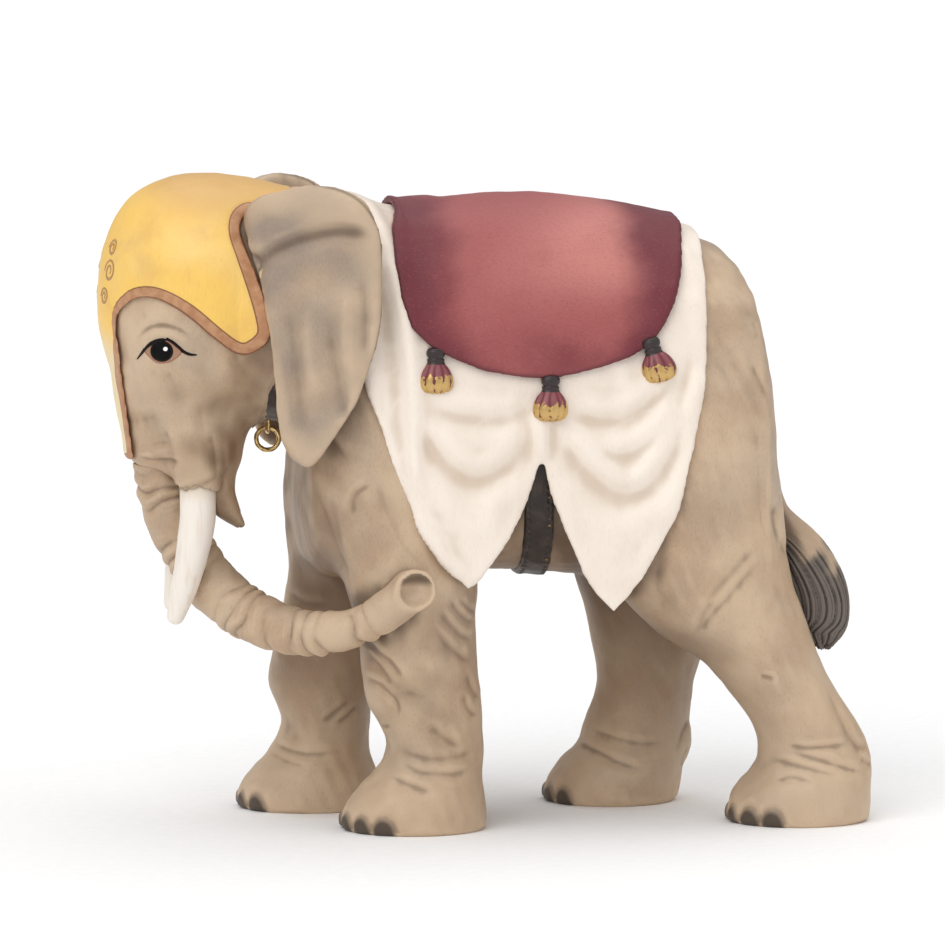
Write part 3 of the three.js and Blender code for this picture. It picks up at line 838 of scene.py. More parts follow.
# The ear in the side view, and in plan: x, outer face, inner face, thick at the root.
earOutline = [
    (-54, 156), (-48, 157.7), (-42, 157), (-37, 154.6), (-33.4, 150.4), (-31.2, 145), (-30.8, 130),
    (-32.6, 118), (-36.6, 106), (-42, 96.6), (-47.2, 89.8), (-51, 90.8), (-53.8, 95.4), (-54.6, 103),
    (-55.6, 114),
    (-57.4, 128), (-60.6, 140), (-62.4, 149), (-59.4, 154),
]
earPlan = [(-67, -24.8, -17), (-60, -28.4, -19), (-52, -32.8, -26.5), (-44, -36.8, -32.5), (-36, -40, -36),
           (-28, -41, -37.2)]

def earField(grid, side):
    y = grid["y"] * (-side)
    plan = np.array(earPlan)
    outer, inner = (smoothLine(grid["x"], plan[:, 0], plan[:, k]) for k in (1, 2))
    tilt = 0.35  # the sheet leans, so its real thickness is less than across the figure
    middle, half = (outer + inner) / 2, (inner - outer) / 2 * (1 - tilt * 0.2)
    sheet = np.abs(y - middle + 0 * grid["z"]) - half
    outline = smoothPath(earOutline, 5, closed=True)
    edge = outlineDistance(grid["x"][:, 0, :], grid["z"][0], outline)[:, None, :]
    return keep(sheet, edge + 0 * sheet, 3.0)


drapeShape = {"fullness": 2.6, "thick": 1.7, "hem": 0.5, "clear": 1.9, "shorter": 5}
drapeOutline = [
    (-39, 170), (-38, 126), (-34.4, 108.4), (-30.7, 98.2), (-25.9, 84.6), (-21.6, 75), (-16.4, 67.2),
    (-9.8, 59.8), (-7.6, 61.4), (-4.6, 65), (0, 71.6), (3.4, 78.4), (5.8, 85), (7.4, 90.4), (8.6, 90.2),
    (10.4, 82.8), (14, 73.2), (18, 63.6), (21.6, 58), (25.7, 53.8), (29.4, 57.6), (33, 62.4),
    (40.6, 76.8), (45.4, 93.8), (48.4, 110.8),
    (50.2, 130), (52.2, 148), (53, 170),
]


def drapeOuter(grid, grow=0.0):  # over the skin everywhere, and squarer than it
    bulk = ovalField(grid, "x", drapeRows, fullness=drapeShape["fullness"], rounding=1)
    return melt(bulk, bodyField(grid) - drapeShape["clear"], 4.0) - grow


# How much of each point's surroundings is filled: painted shade, with stain, gathers where it is high, and
# painted light where it is low.
def filledAround():
    grid = makeGrid((-106, -52, -8), (106, 52, 168), 1.6)
    field = melt(bodyField(grid), faceField(grid), skinForm["neck"])
    for rows in (trunkRows, tailRows):
        field = np.minimum(field, limbField(grid, rows))
    for side in (-1, 1):
        field = np.minimum(field, earField(grid, side))
    edge = outlineDistance(grid["x"][:, 0, :], grid["z"][0], np.array(drapeOutline))[:, None, :]
    field = np.minimum(field, np.maximum(drapeOuter(grid), edge))
    filled = np.clip(0.5 - field / grid["step"], 0, 1)
    return grid, blurred(filled, 3)


surroundings, filled = filledAround()


def setRecess(mesh):
    points, normals = readPoints(mesh), readNormals(mesh)
    share = sampled(surroundings, filled, points + normals * 3.0)
    # recess: painted shade, with stain, where the surroundings close in; the crests: painted light where they
    # are open
    setPaint(mesh, {"recess": fade(share, 0.27, 0.5), "crestLight": fade(share, 0.21, 0.08)})


# Writes the values that the skin's glaze reads, once a part has its carved shape.
def paintSkin(mesh, rounds, **paint):
    plain = {"stain": 0.0, "nail": -1.0, "hair": 0.0, "dusk": 0.0, "wash": 0.0, "rubbed": 0.0}
    count = len(mesh.vertices)
    setPaint(mesh, {name: paint.get(name, np.full(count, value)) for name, value in plain.items()})
    setRecess(mesh)
    setPaint(mesh, {"fineHollow": hollowness(mesh, 4), "broadHollow": hollowness(mesh, rounds)})


feet = [  # middle and half length; the nails sit round the front, turned outwards by these degrees
    (-21.1, -21.5, 17.9), (-41.0, 21.5, 18.1), (74.7, -21.5, 17.6), (35.4, 21.5, 17.1),
]
nailShape = {
    "angles": (-36, -12, 12, 36, 58), "wide": 16.2, "half": 2.9, "tall": 3.7, "height": 0.5, "stand": 0.4,
}


def toeNails(points):  # how far to push out, and the painted mask, above 0 on a nail
    nail = nailShape
    push, mask = np.zeros(len(points)), np.full(len(points), -1.0)
    low = np.nonzero(points[:, 2] < 9)[0]
    height = (points[low, 2] - nail["height"]) / nail["tall"]
    for middleX, middleY, halfLong in feet:
        halfWide = math.copysign(nail["wide"], middleY)
        for angle in nail["angles"]:
            turn = math.radians(angle)
            x = middleX - halfLong * math.cos(turn)
            y = middleY + halfWide * math.sin(turn)
            tangent = np.array([math.sin(turn) * halfLong, halfWide * math.cos(turn)])
            tangent /= np.linalg.norm(tangent)
            offset = points[low, :2] - (x, y)
            near = np.hypot(*offset.T) < 7
            size = np.hypot(offset @ tangent / nail["half"], height)
            size = np.where(near, size, 9)
            mask[low] = np.maximum(mask[low], 1 - size)
            dome = nail["stand"] * np.sqrt(np.clip(1 - size ** 2, 0, 1))
            groove = 0.25 * np.exp(-((size - 1.2) / 0.25) ** 2)
            push[low] += dome - groove
    return push, mask


# Folds of the skin. "at" is how far out the surface lies, on the left side.
bodyFolds = mirrored([
    # left foreleg, outer face
    fold([(-34.7, 48.1), (-31.6, 45), (-27.7, 41.4), (-25.1, 37.5)], 0.96, 0.468),
    fold([(-34.2, 44.6), (-31.2, 41.5), (-29, 38.4), (-28.1, 36)], 0.9, 0.425),
    fold([(-34.5, 37.8), (-31.2, 36.7), (-28.6, 34.5), (-26.6, 31.4), (-26.4, 27.5)], 0.9, 0.468),
    fold([(-31, 26.2), (-29.8, 24.6), (-27.9, 26.4)], 0.72, 0.425),
    fold([(-25.6, 17.4), (-21.6, 15.5), (-18.1, 15), (-12.9, 14.8), (-8, 15.6)], 0.96, 0.425),
    fold([(-28.5, 14.1), (-23.4, 12.3), (-18.1, 10.4)], 0.96, 0.383),
    fold([(-26, 20.5), (-20, 18.6), (-13, 18.8), (-7, 20)], 1.32, 0.34),
    fold([(-14.6, 58.2), (-12.4, 54.7), (-9.4, 52), (-6.5, 50.5)], 1.08, 0.383),
    fold([(-17.2, 55.2), (-14.1, 51.2), (-11.1, 48.5), (-7.4, 46.2)], 1.08, 0.383),
    fold([(-18.6, 51.6), (-15.4, 47), (-11, 43.2), (-7.4, 41)], 1.2, 0.297),
    fold([(-12, 57.6), (-8.6, 54.4), (-6, 53)], 0.84, 0.297),
    fold([(-9.2, 39.6), (-7.8, 34.9), (-5.6, 31.6)], 0.96, 0.425),
    fold([(-10.6, 34.6), (-9.2, 30.4), (-6.4, 27.6)], 0.96, 0.34),
    fold([(-19.6, 27.2), (-15.4, 23.4), (-10.4, 20.6)], 1.5, 0.4, stain=0.15),
    fold([(-29, 33), (-24, 34.5), (-19, 33)], 1.8, 0.35, stain=0.1),
    fold([(-33.2, 57), (-30.6, 51.5), (-30.2, 47)], 1.2, 0.297),
    # shoulder and chest
    fold([(-47.9, 88.4), (-43.1, 76.1), (-39.6, 66.3), (-37.4, 58)], 1.44, 0.68, at=-22),
    fold([(-42.3, 84), (-39.9, 71.6), (-36.8, 58)], 1.2, 0.425, at=-26),
    fold([(-37.3, 77), (-36.8, 82.6), (-32.9, 86)], 1.08, 0.425, at=-30),
    fold([(-30, 94), (-31.4, 84), (-27, 72), (-20, 64)], 3.2, 0.7, at=-30, stain=0),
    fold([(-24, 92), (-23, 80), (-17, 70)], 4, -0.5, at=-32),
    # hind legs, outer face
    fold([(69.6, 19.9), (74, 19.2), (79.2, 19.5), (85.9, 19.9)], 0.84, 0.425),
    fold([(69.2, 18.2), (76.6, 16.6), (81.9, 14.8), (90.4, 12.2)], 0.96, 0.468),
    fold([(66.4, 16.2), (73.2, 14.7), (81.9, 12.5)], 0.96, 0.383),
    fold([(66.6, 11), (70.5, 12.3), (75.9, 11)], 0.84, 0.297),
    fold([(62.4, 37.4), (66.1, 36.6)], 0.72, 0.34),
    fold([(78.6, 36.4), (83.4, 25.6), (87.4, 19.6), (91.3, 17.4)], 1.32, 0.595, at=-28),
    fold([(88.4, 16.6), (90.6, 14.6), (92.4, 13.8)], 0.96, 0.425, at=-28),
    fold([(48.4, 47), (49, 50.8), (53, 56), (58.3, 61.8), (62.3, 65.7)], 1.32, 0.383),
    fold([(46.4, 46.2), (48, 52.8), (50.3, 56.7)], 1.2, 0.34),
    fold([(61.9, 69.4), (55, 63), (47.6, 55)], 1.6, 0.35, stain=0.2),
    fold([(40, 52), (37, 60), (38, 70)], 2.2, 0.6, stain=0.1),
    fold([(56, 92), (46, 80), (38, 72)], 5, -0.5),
    fold([(62.4, 123.6), (63.7, 118.7)], 0.84, 0.212, at=-22),
    fold([(60.8, 113.5), (64.6, 104.6)], 0.84, 0.212, at=-22),
    fold([(67, 80), (67.6, 73), (72.3, 63.3)], 1.3, 0.8, at=-18),
    # neck behind the ears
    fold([(-50, 104), (-44, 98), (-38, 90)], 1.6, 0.6, at=-28),
])
bodyFolds += [  # the inner faces of the far legs
    fold([(-39.8, 22.3), (-36, 25), (-32.5, 28.1)], 0.84, 0.425, at=11),
    fold([(-36.2, 21.8), (-32.9, 24.1), (-30.2, 26.7)], 0.84, 0.425, at=11),
    fold([(-51.6, 42), (-51.2, 36)], 0.96, 0.425, at=14),
    fold([(-52.4, 17), (-47.5, 15.2), (-42, 14.6), (-34, 15.4)], 1.08, 0.425, at=11),
    fold([(-53, 14.6), (-48, 12.6), (-43, 11.4)], 1.08, 0.34, at=11),
    fold([(-44.3, 71.3), (-36.8, 66.2), (-32.5, 60)], 1.2, 0.51, at=9),
    fold([(-48, 55), (-43, 52), (-37, 52)], 1.4, 0.4, at=9),
    fold([(24.6, 15.3), (30.3, 13.4), (35.7, 10.9), (42, 9)], 1.08, 0.468, at=9),
    fold([(28, 19), (34, 17), (41, 15.6), (48, 15.8)], 1.2, 0.34, at=9),
    fold([(55, 14), (52.6, 11), (52.8, 7.8)], 0.96, 0.425, at=12),
    fold([(55.6, 21), (52.2, 16.8), (50, 12.2)], 0.96, 0.383, at=10),
]

headFolds = mirrored([
    # upper lid and the soft fold over it
    fold([(-88, 117.6), (-87.2, 120.8), (-85, 123), (-81.4, 123.6), (-77.6, 122.2), (-74.4, 119.4)], 0.96,
         0.468, at=-22, stain=0.2, ends=0.4),
    fold([(-86.6, 125.8), (-82.6, 126.8), (-77, 125)], 2.2, -0.8, at=-22),
    fold([(-86.4, 120.6), (-83.6, 121.9), (-79.4, 121.4), (-75.8, 119.2)], 1.08, -0.425, at=-22),
    fold([(-86, 117), (-82, 117.4), (-78, 117)], 3.2, 0.8, at=-22, stain=0, lips=0),
    fold([(-86.4, 112.6), (-82.6, 110.6), (-78.6, 111.6)], 2.4, 0.45, at=-22, stain=0, lips=0),
    # cheekbone, cheek hollow and jaw
    fold([(-80, 109), (-72, 112), (-64, 116)], 5, -0.9, at=-22),
    fold([(-76, 101), (-69, 103), (-62, 107)], 5, 1.1, at=-22, stain=0, lips=0),
    fold([(-86, 103), (-83.6, 97), (-82, 92)], 3.4, 1, at=-14, stain=0, lips=0.2),
    # trunk root and the tusk's sheath
    fold([(-81.8, 99), (-80.4, 93), (-79.6, 87)], 1.6, 0.8, at=-12, stain=0.1),
    fold([(-87, 90.6), (-82, 89.9), (-77, 90.3)], 0.72, 0.34, at=-8, stain=0.2),
    fold([(-70, 97.6), (-68.8, 92), (-68.6, 86.4)], 1.4, 0.6, at=-16, stain=0.05),
    fold([(-66.9, 96), (-66.2, 88), (-66.6, 80.6)], 1.3, 0.6, at=-12, stain=0.08),
    fold([(-79, 81), (-76.4, 83.6), (-72.6, 84.6), (-69.2, 86), (-67.8, 88.6)], 1.08, 0.51, at=-16,
         stain=0.15),
])
stainSpots = [  # x, z, long, tall and strength of shade painted on the head, chest and near legs
    (-66, 104, 7, 6, 0.75), (-58, 112, 7, 12, 0.45), (-84, 100, 4, 6, 0.3), (-68.5, 93, 9, 9, 0.75),
    (-62, 126, 4, 6, 0.25), (-78, 112, 6, 3, 0.2), (-76, 105, 10, 8, 0.45), (-48, 77, 9, 16, 0.65),
    (-34, 80, 14, 16, 0.2), (-21, 34, 15, 21, 0.42), (40, 62, 10, 20, 0.15), (18, 62, 24, 8, 0.3),
]
rubbedSpots = [  # the same for places painted paler
    (74, 10, 18, 16, 0.6), (80, 30, 10, 16, 0.4), (-22, 6, 18, 9, 0.4), (-42, 8, 18, 12, 0.6),
    (35, 12, 18, 12, 0.6), (-85, 124, 6, 5, 0.5), (58, 60, 12, 22, 0.25), (-86, 108, 4, 6, 0.25),
]


def spotted(points, spots):
    total = np.zeros(len(points))
    for x, z, long, tall, strength in spots:
        spot = np.exp(-((points[:, 0] - x) / long) ** 2 - ((points[:, 2] - z) / tall) ** 2)
        total = np.maximum(total, strength * spot)
    return total * fade(np.abs(points[:, 1]), 5, 12)


def handCut(points, seed):  # the slight unevenness that knife and sandpaper leave
    return 0.2 * ripple(points, 15, seed) + 0.07 * ripple(points, 5, seed + 1)


def carveBody(mesh, folds, seed, washAt):
    points, normals = readPoints(mesh), readNormals(mesh)
    push, stain = carveLines(points, normals, folds)
    nailPush, nail = toeNails(points)
    flat = fade(points[:, 2], 0.2, 1.2)  # soles stay flat
    uneven = handCut(points, seed) * flat
    moved = points + normals * (push + nailPush * flat + uneven)[:, None]
    writePoints(mesh, moved)
    # painted shade on faces turned in between the legs and under the belly, fading out above the belly, and
    # in spots on the head, chest and near legs
    inward = fade(-normals[:, 1] * np.sign(points[:, 1]), -0.3, 0.6) * fade(points[:, 2], 4, 60)
    under = fade(-normals[:, 2], 0.1, 0.8) * fade(points[:, 2], 20, 50)
    dusk = np.clip(inward + 0.7 * under, 0, 1) * fade(points[:, 2], 92, 72)
    dusk = np.maximum(dusk, spotted(points, stainSpots) * (0.8 + 0.35 * ripple(points, 9, seed + 3)))
    paintSkin(mesh, 40, stain=stain, nail=nail, wash=washAt(moved), dusk=dusk,
              rubbed=spotted(points, rubbedSpots))
    return mesh


def bodyWash(points):  # greyer towards the back, warmer down the legs
    return 0.25 * fade(points[:, 2], 60, 140) + 0.15 * ripple(points, 30, 7)


def headWash(points):
    return 0.1 * ripple(points, 24, 8)


bodyGrid = makeGrid((-66, -42, -4), (98, 42, 160), cell(1.0))
bodySkin = melt(bodyField(bodyGrid), faceField(bodyGrid), skinForm["neck"])
trunkBed = limbField(bodyGrid, trunkRows, grow=0.15)
bodySkin = keep(bodySkin, -trunkBed, 0.8)
bodyMesh = carveBody(meshOver(bodyGrid, bodySkin), bodyFolds, 11, bodyWash)
print("body carved")

behindNeck = sawn(bodyMesh, neckJoint[0], neckJoint[1])
frontMesh = sawn(behindNeck, seam[0], [-part for part in seam[1]])
rearMesh = sawn(behindNeck, seam[0], seam[1])
finishPiece("front_block_skin", frontMesh, "figure", finishes["skin"], ["front_block"])
finishPiece("rear_block_skin", rearMesh, "figure", finishes["skin"], ["rear_block"])

headGrid = makeGrid((-100, -36, 68), (-50, 36, 164), cell(0.75))
headMesh = carveBody(meshOver(headGrid, skinField(headGrid)), headFolds, 12, headWash)
headMesh = sawn(headMesh, neckJoint[0], [-part for part in neckJoint[1]])
headPiece = finishPiece("head_skin", headMesh, "figure", finishes["skin"], ["head"])


# Trunk: ringed folds, and an open tip turned to the left side.

trunkFolds = {"spacing": 5.4, "height": 1.35, "mouthRadius": 5.1, "mouthDepth": 2.6}


def trunkField(grid):
    x, y, z = grid["x"] - mouth[0], grid["y"] - mouth[1], grid["z"] - mouth[2]
    around = np.sqrt(x * x + z * z)
    cup = around - (trunkFolds["mouthRadius"] - 0.1 * np.clip(y, 0, 9))
    cup = keep(cup, np.maximum(-y, y - 8) + np.zeros_like(cup), 1.2)
    field = melt(limbField(grid, trunkRows), cup, 2.5)
    bowl = np.sqrt((x / 3.9) ** 2 + (z / 3.9) ** 2 + (y / trunkFolds["mouthDepth"]) ** 2) - 1
    field = keep(field, -bowl * 2.6, 0.7)
    return keep(field, grid["z"] - trunkJoint + np.zeros_like(cup), 0.3)


def carveTrunk(mesh):
    points, normals = readPoints(mesh), readNormals(mesh)
    spine = smoothPath(trunkRows, 24)
    lengths = np.concatenate([[0], np.cumsum(np.linalg.norm(np.diff(spine[:, :3], axis=0), axis=1))])
    nearest = np.zeros(len(points), int)
    for start in range(0, len(points), 20000):
        part = points[start:start + 20000]
        nearest[start:start + 20000] = ((part[:, None] - spine[None, :, :3]) ** 2).sum(-1).argmin(1)
    tangent = np.gradient(spine[:, :3], axis=0)
    tangent /= np.linalg.norm(tangent, axis=1, keepdims=True)
    along = lengths[nearest] + ((points - spine[nearest, :3]) * tangent[nearest]).sum(1)
    turns = along / trunkFolds["spacing"] + 0.22 * ripple(points, 14, 21) + 0.35 * np.sin(along * 0.31)
    valley = np.abs(np.sin(math.pi * turns))
    fold = np.sqrt(valley ** 2 + 0.04) - 0.7
    strength = fade(along, 12, 24) * fade(lengths[-1] - along, 6, 14)
    strength = strength * (0.55 + 0.45 * np.clip(ripple(points, 11, 22) + 0.4, 0, 1))
    size = trunkFolds["height"] * (0.55 + 0.45 * fade(normals[:, 2], 0.5, -0.5))
    small = 0.08 * np.sqrt(np.abs(np.sin(math.pi * (along / 1.9 + 0.5 * ripple(points, 9, 23)))))
    moved = points + normals * (strength * (size * fold - small) + handCut(points, 24))[:, None]
    writePoints(mesh, moved)
    # stain and painted shade in the valleys between the rings
    stain = 0.16 * strength * np.exp(-(valley / 0.35) ** 2)
    # inside the open tip: painted shade, darkest under its upper lip
    inMouth = np.hypot(moved[:, 0] - mouth[0], moved[:, 2] - mouth[2]) < 4.2
    inMouth &= moved[:, 1] < mouth[1] + 3.5
    upper = fade(moved[:, 2] - mouth[2], 0.5, 2.6)
    stain = np.where(inMouth, 0.75 * upper, stain)
    paintSkin(mesh, 24, stain=stain, wash=-0.4 * inMouth + 0.1 * ripple(points, 20, 25))
    return mesh


trunkGrid = makeGrid((-92, -46, 40), (-16, 12, 91), cell(0.62))
trunkMesh = carveTrunk(meshOver(trunkGrid, trunkField(trunkGrid)))
finishPiece("trunk_skin", trunkMesh, "figure", finishes["skin"], ["trunk"])


# Tusks.

for side, rows in tuskShapes.items():
    low, high = np.min(rows, 0)[:3] - 6, np.max(rows, 0)[:3] + 6
    grid = makeGrid(low, high, cell(0.5))
    tuskMesh = meshOver(grid, limbField(grid, rows, perPart=8))
    points = readPoints(tuskMesh)
    writePoints(tuskMesh, points + readNormals(tuskMesh) * (0.05 * ripple(points, 7, 31))[:, None])
    setPaint(tuskMesh, {"root": fade(points[:, 2], 78, 86)})
    finishPiece(f"{side}_tusk_ivory", tuskMesh, "figure", finishes["ivory"], [f"{side}_tusk"])


# Ears: thick at the root, rolled over at the top, with soft hanging folds.

earFolds = [
    fold([(-63, 136.6), (-59.6, 139.6), (-53.6, 143.4), (-46, 146), (-39, 146.8), (-33, 145.6)], 2, 1.7,
         stain=0.4, ends=0.2, lips=0.2),
    fold([(-61, 148), (-54, 151.4), (-46, 152.8), (-38, 151.4), (-33, 147)], 4, -1.5),
    fold([(-56, 134), (-48, 138.4), (-38, 140.6)], 4, 0.8, stain=0, lips=0),
    fold([(-53.4, 131), (-52, 118), (-50.6, 106), (-49.6, 95)], 1.8, 1, stain=0.12),
    fold([(-58.4, 136), (-56.8, 122), (-55, 108), (-52.6, 95)], 2.4, -1.1),
    fold([(-48.4, 132), (-47.4, 118), (-46, 106)], 2.4, -1.1),
    fold([(-44.6, 130), (-42.8, 116), (-41, 106), (-39.6, 101)], 1.9, 1.1, stain=0.12),
    fold([(-40, 134), (-38.6, 120), (-37.4, 110)], 2.4, -1),
    fold([(-36.4, 138), (-35.4, 126), (-35.6, 114)], 1.7, 0.8, stain=0.1),
    fold([(-62.8, 146), (-61.2, 137), (-59, 126), (-57, 113), (-55.2, 101), (-52.6, 93)], 1.3, -0.7,
         ends=0.1),
]


def carveEar(mesh, side):
    points, normals = readPoints(mesh), readNormals(mesh)
    push, stain = foldRelief(points, normals, earFolds, side)
    back = fade(normals[:, 1] * side, 0.1, -0.4)
    ribs = 0.25 * ripple(points * (1.6, 1, 0.35), 9, 41)
    moved = points + normals * (push + ribs * back + 0.6 * handCut(points, 42))[:, None]
    writePoints(mesh, moved)
    outline = smoothPath(earOutline, 5, closed=True)
    edge = -outlineDistance(moved[:, 0], moved[:, 2], outline)
    rear = fade(moved[:, 0], -50, -42) * np.exp(-((edge - 0.2) / 0.35) ** 2) * 0.65
    stain = np.maximum(stain, rear)
    paintSkin(mesh, 30, stain=stain, wash=0.68 + 0.25 * ripple(points, 14, 43))
    return mesh


for side, name in ((-1, "left"), (1, "right")):
    near, far = sorted((side * 14, side * 44))
    grid = makeGrid((-68, near, 87), (-26, far, 161), cell(0.75))
    earMesh = carveEar(meshOver(grid, earField(grid, side)), side)
    finishPiece(f"{name}_ear_skin", earMesh, "figure", finishes["skin"], [f"{name}_ear"])


# Tail: a flat strap down the rump with a brush of carved hair.

tailShape = {"flat": 0.7, "hairFrom": 66.0, "grooves": 3.4, "grooveDepth": 0.55}


def carveTail(mesh):
    points, normals = readPoints(mesh), readNormals(mesh)
    spine = smoothPath(tailRows, 12)
    order = np.argsort(spine[:, 2])
    middleX, middleY = (np.interp(points[:, 2], spine[order, 2], spine[order, k]) for k in (0, 1))
    girth = np.interp(points[:, 2], spine[order, 2], spine[order, 3])
    turn = np.arctan2((points[:, 1] - middleY) / tailShape["flat"], points[:, 0] - middleX)
    ragged = 2.6 * ripple(points * (1, 1, 0.2), 5, 51)
    hair = fade(points[:, 2] + ragged, tailShape["hairFrom"] + 4, tailShape["hairFrom"] - 5)
    strands = turn * tailShape["grooves"] * (girth + 2) / 3
    strands += 0.05 * points[:, 2] + 0.5 * ripple(points, 16, 52)
    lock = np.abs(np.sin(strands))
    push = hair * tailShape["grooveDepth"] * (np.sqrt(lock) - 0.8)
    push += hair * 0.12 * np.sin(strands * 3.1)
    moved = points + normals * (push + 0.4 * handCut(points, 53))[:, None]
    low = fade(moved[:, 2], 46, 38)  # the strands end raggedly
    moved[:, 2] += low * 1.6 * np.sin(turn * 4 + 0.6)
    writePoints(mesh, moved)
    # stain and painted shade between the strands of hair
    paintSkin(mesh, 24, stain=0.25 * hair * np.exp(-(lock / 0.3) ** 2), hair=hair,
              wash=0.3 * fade(points[:, 2], 110, 70))
    return mesh


grid = makeGrid((58, -32, 32), (98, 10, 132), cell(0.62))
tailMesh = carveTail(meshOver(grid, limbField(grid, tailRows, flat=tailShape["flat"])))
finishPiece("tail_skin", tailMesh, "figure", finishes["skin"], ["tail"])


# Headdress: a close golden cap with a brown border and a strip down the forehead.

capShape = {"stand": 1.3, "standAtTrunk": 0.95, "borderHalf": 1.8}
borderCorners = [
    (-46.5, 150.2), (-52, 151.2), (-57, 151.9), (-61, 151.6), (-63.9, 149.4), (-64.6, 145.6),
    (-63.2, 140.5),
    (-60.4, 132.5), (-58.6, 126), (-58.2, 121.4), (-60.6, 118.6), (-64, 118), (-69.5, 121.9), (-76, 127.4),
    (-82, 130.8), (-86.5, 131.6), (-90.2, 130), (-92.8, 125.5), (-92.3, 118), (-91.3, 110.5), (-90.1, 103),
    (-89.1, 96), (-88.3, 90.2),
]
borderLine = np.vstack([[(-46.5, 170)], smoothPath(borderCorners, 4), [(-100, 90.2), (-110, 170)]])


def borderHalf(x, z):  # narrower towards the forehead, and down it
    wide = capShape["borderHalf"] - 0.35 * fade(-x, 60, 66)
    return wide - 0.6 * fade(-z, -126, -112) * fade(-x, 84, 90)


def onSurface(z, lean):  # how much a width along the skin shrinks in the side view
    across = np.sqrt(np.clip(1 - lean ** 2, 0.03, 1))
    return np.maximum(across, 0.8 * fade(z, 124, 116))


def capField(grid):
    skin = skinField(grid)
    low, high = capShape["standAtTrunk"], capShape["stand"]
    shell = skin - (low + (high - low) * fade(grid["z"], 92, 112))
    edge = outlineDistance(grid["x"][:, 0, :], grid["z"][0], borderLine)
    slopeX, slopeZ = np.gradient(edge, grid["step"])
    slope = [np.gradient(shell, grid["step"])[k] for k in (0, 2)]
    lean = slope[0] * slopeX[:, None, :] + slope[1] * slopeZ[:, None, :]
    shrink = onSurface(grid["z"], lean / np.maximum(steepness(grid, shell), 0.2))
    half = borderHalf(grid["x"][:, 0, :], grid["z"][0])[:, None, :]
    crown = keep(shell, edge[:, None, :] - half * shrink, 0.8)
    return keep(crown, -(skin + 1.5), 0.3)


grid = makeGrid((-100, -32, 84), (-42, 32, 164), cell(0.62))
capMesh = meshOver(grid, capField(grid))
capMesh = sawn(capMesh, (-46.4, 0, 150), (1, 0, 0))
points, normals = readPoints(capMesh), readNormals(capMesh)
edge = outlineDistance(points[:, 0], points[:, 2], borderLine)
delta = 0.2
slopeX = (outlineDistance(points[:, 0] + delta, points[:, 2], borderLine) - edge) / delta
slopeZ = (outlineDistance(points[:, 0], points[:, 2] + delta, borderLine) - edge) / delta
shrink = onSurface(points[:, 2], normals[:, 0] * slopeX + normals[:, 2] * slopeZ)
away = edge / shrink / borderHalf(points[:, 0], points[:, 2])
border = np.where(away > 0, np.minimum(away, 0.85), -away)
front = fade(-points[:, 0], 84, 87) * fade(points[:, 2], 124, 114)
groove = 0.16 * np.exp(-((away + 1) / 0.22) ** 2)
writePoints(capMesh, points + normals * (0.5 * handCut(points, 12) - groove)[:, None])
# painted shade on the top of the cap
top = fade(points[:, 2], 142, 158) * fade(points[:, 0], -94, -74)
setRecess(capMesh)
setPaint(capMesh, {"border": border, "top": top, "forehead": 0.8 * front})
capPiece = finishPiece("headdress_cloth", capMesh, "figure", finishes["golden"],
                       ["headdress"])


# Small raised paint lines laid on a surface.

def surfaceOf(*pieces):
    depsgraph = bpy.context.evaluated_depsgraph_get()
    return [BVHTree.FromObject(piece, depsgraph) for piece in pieces]


def touchDown(trees, start, direction):
    best = None
    for tree in trees:
        place, normal, _, far = tree.ray_cast(Vector(toFrame(start)), Vector(direction))
        if place is not None and (best is None or far < best[2]):
            best = (place, normal, far)
    if best is None:
        return None
    place = np.array(best[0]) / millimetre - (lengthShift, 0, 0)
    return place, np.array(best[1])


# A brush line: spots of (start point, half width) projected onto the surface.
def brushLine(spots, trees, direction, stand, closed=False):
    landed = [(touchDown(trees, start, direction), half) for start, half in spots]
    landed = [(place, normal, half) for (hit, half) in landed if hit for place, normal in [hit]]
    places = np.array([place for place, _, _ in landed])
    normals = np.array([normal for _, normal, _ in landed])
    halves = np.array([half for _, _, half in landed])
    if closed:
        ahead = np.roll(places, -1, 0) - np.roll(places, 1, 0)
    else:
        ahead = np.gradient(places, axis=0)
    across = np.cross(normals, ahead)
    across /= np.linalg.norm(across, axis=1, keepdims=True)
    profile = [(-1, -0.25), (-0.9, 0.5), (-0.45, 0.9), (0, 1), (0.45, 0.9), (0.9, 0.5), (1, -0.25), (0, -0.6)]
    rings = [[places + across * (halves * a)[:, None] + normals * (stand * b)] for a, b in profile]
    rings = np.concatenate(rings, 0).transpose(1, 0, 2)
    mesh = tubeMesh(rings, closed)
    setPaint(mesh, {"across": np.tile([abs(a) for a, _ in profile], len(places))})
    return mesh


# Eyes.

eyeShape = {
    "opening": [(-86.2, 117.2), (-85.2, 118.9), (-83.3, 120.1), (-81.4, 120.2), (-79.4, 119), (-77.8, 117.2),
                (-79.0, 115.6), (-80.8, 114.5), (-83.2, 114.3), (-85.0, 115.6)],
    "iris": (-82.3, 117.3), "irisRadius": 2.62, "glintDot": (-81.5, 117.9), "glintDotRadius": 0.5, "bulge": 0.95,
    "lidLine": [(-87.6, 115.1), (-86.6, 116.8), (-85.3, 118.7), (-83.4, 120), (-81.5, 120.2), (-79.4, 119.1),
                (-77.4, 117.4), (-75.8, 116.7), (-74.2, 116.6)],
    "lidHalf": [0.15, 0.35, 0.6, 0.75, 0.75, 0.62, 0.42, 0.36, 0.15],
}


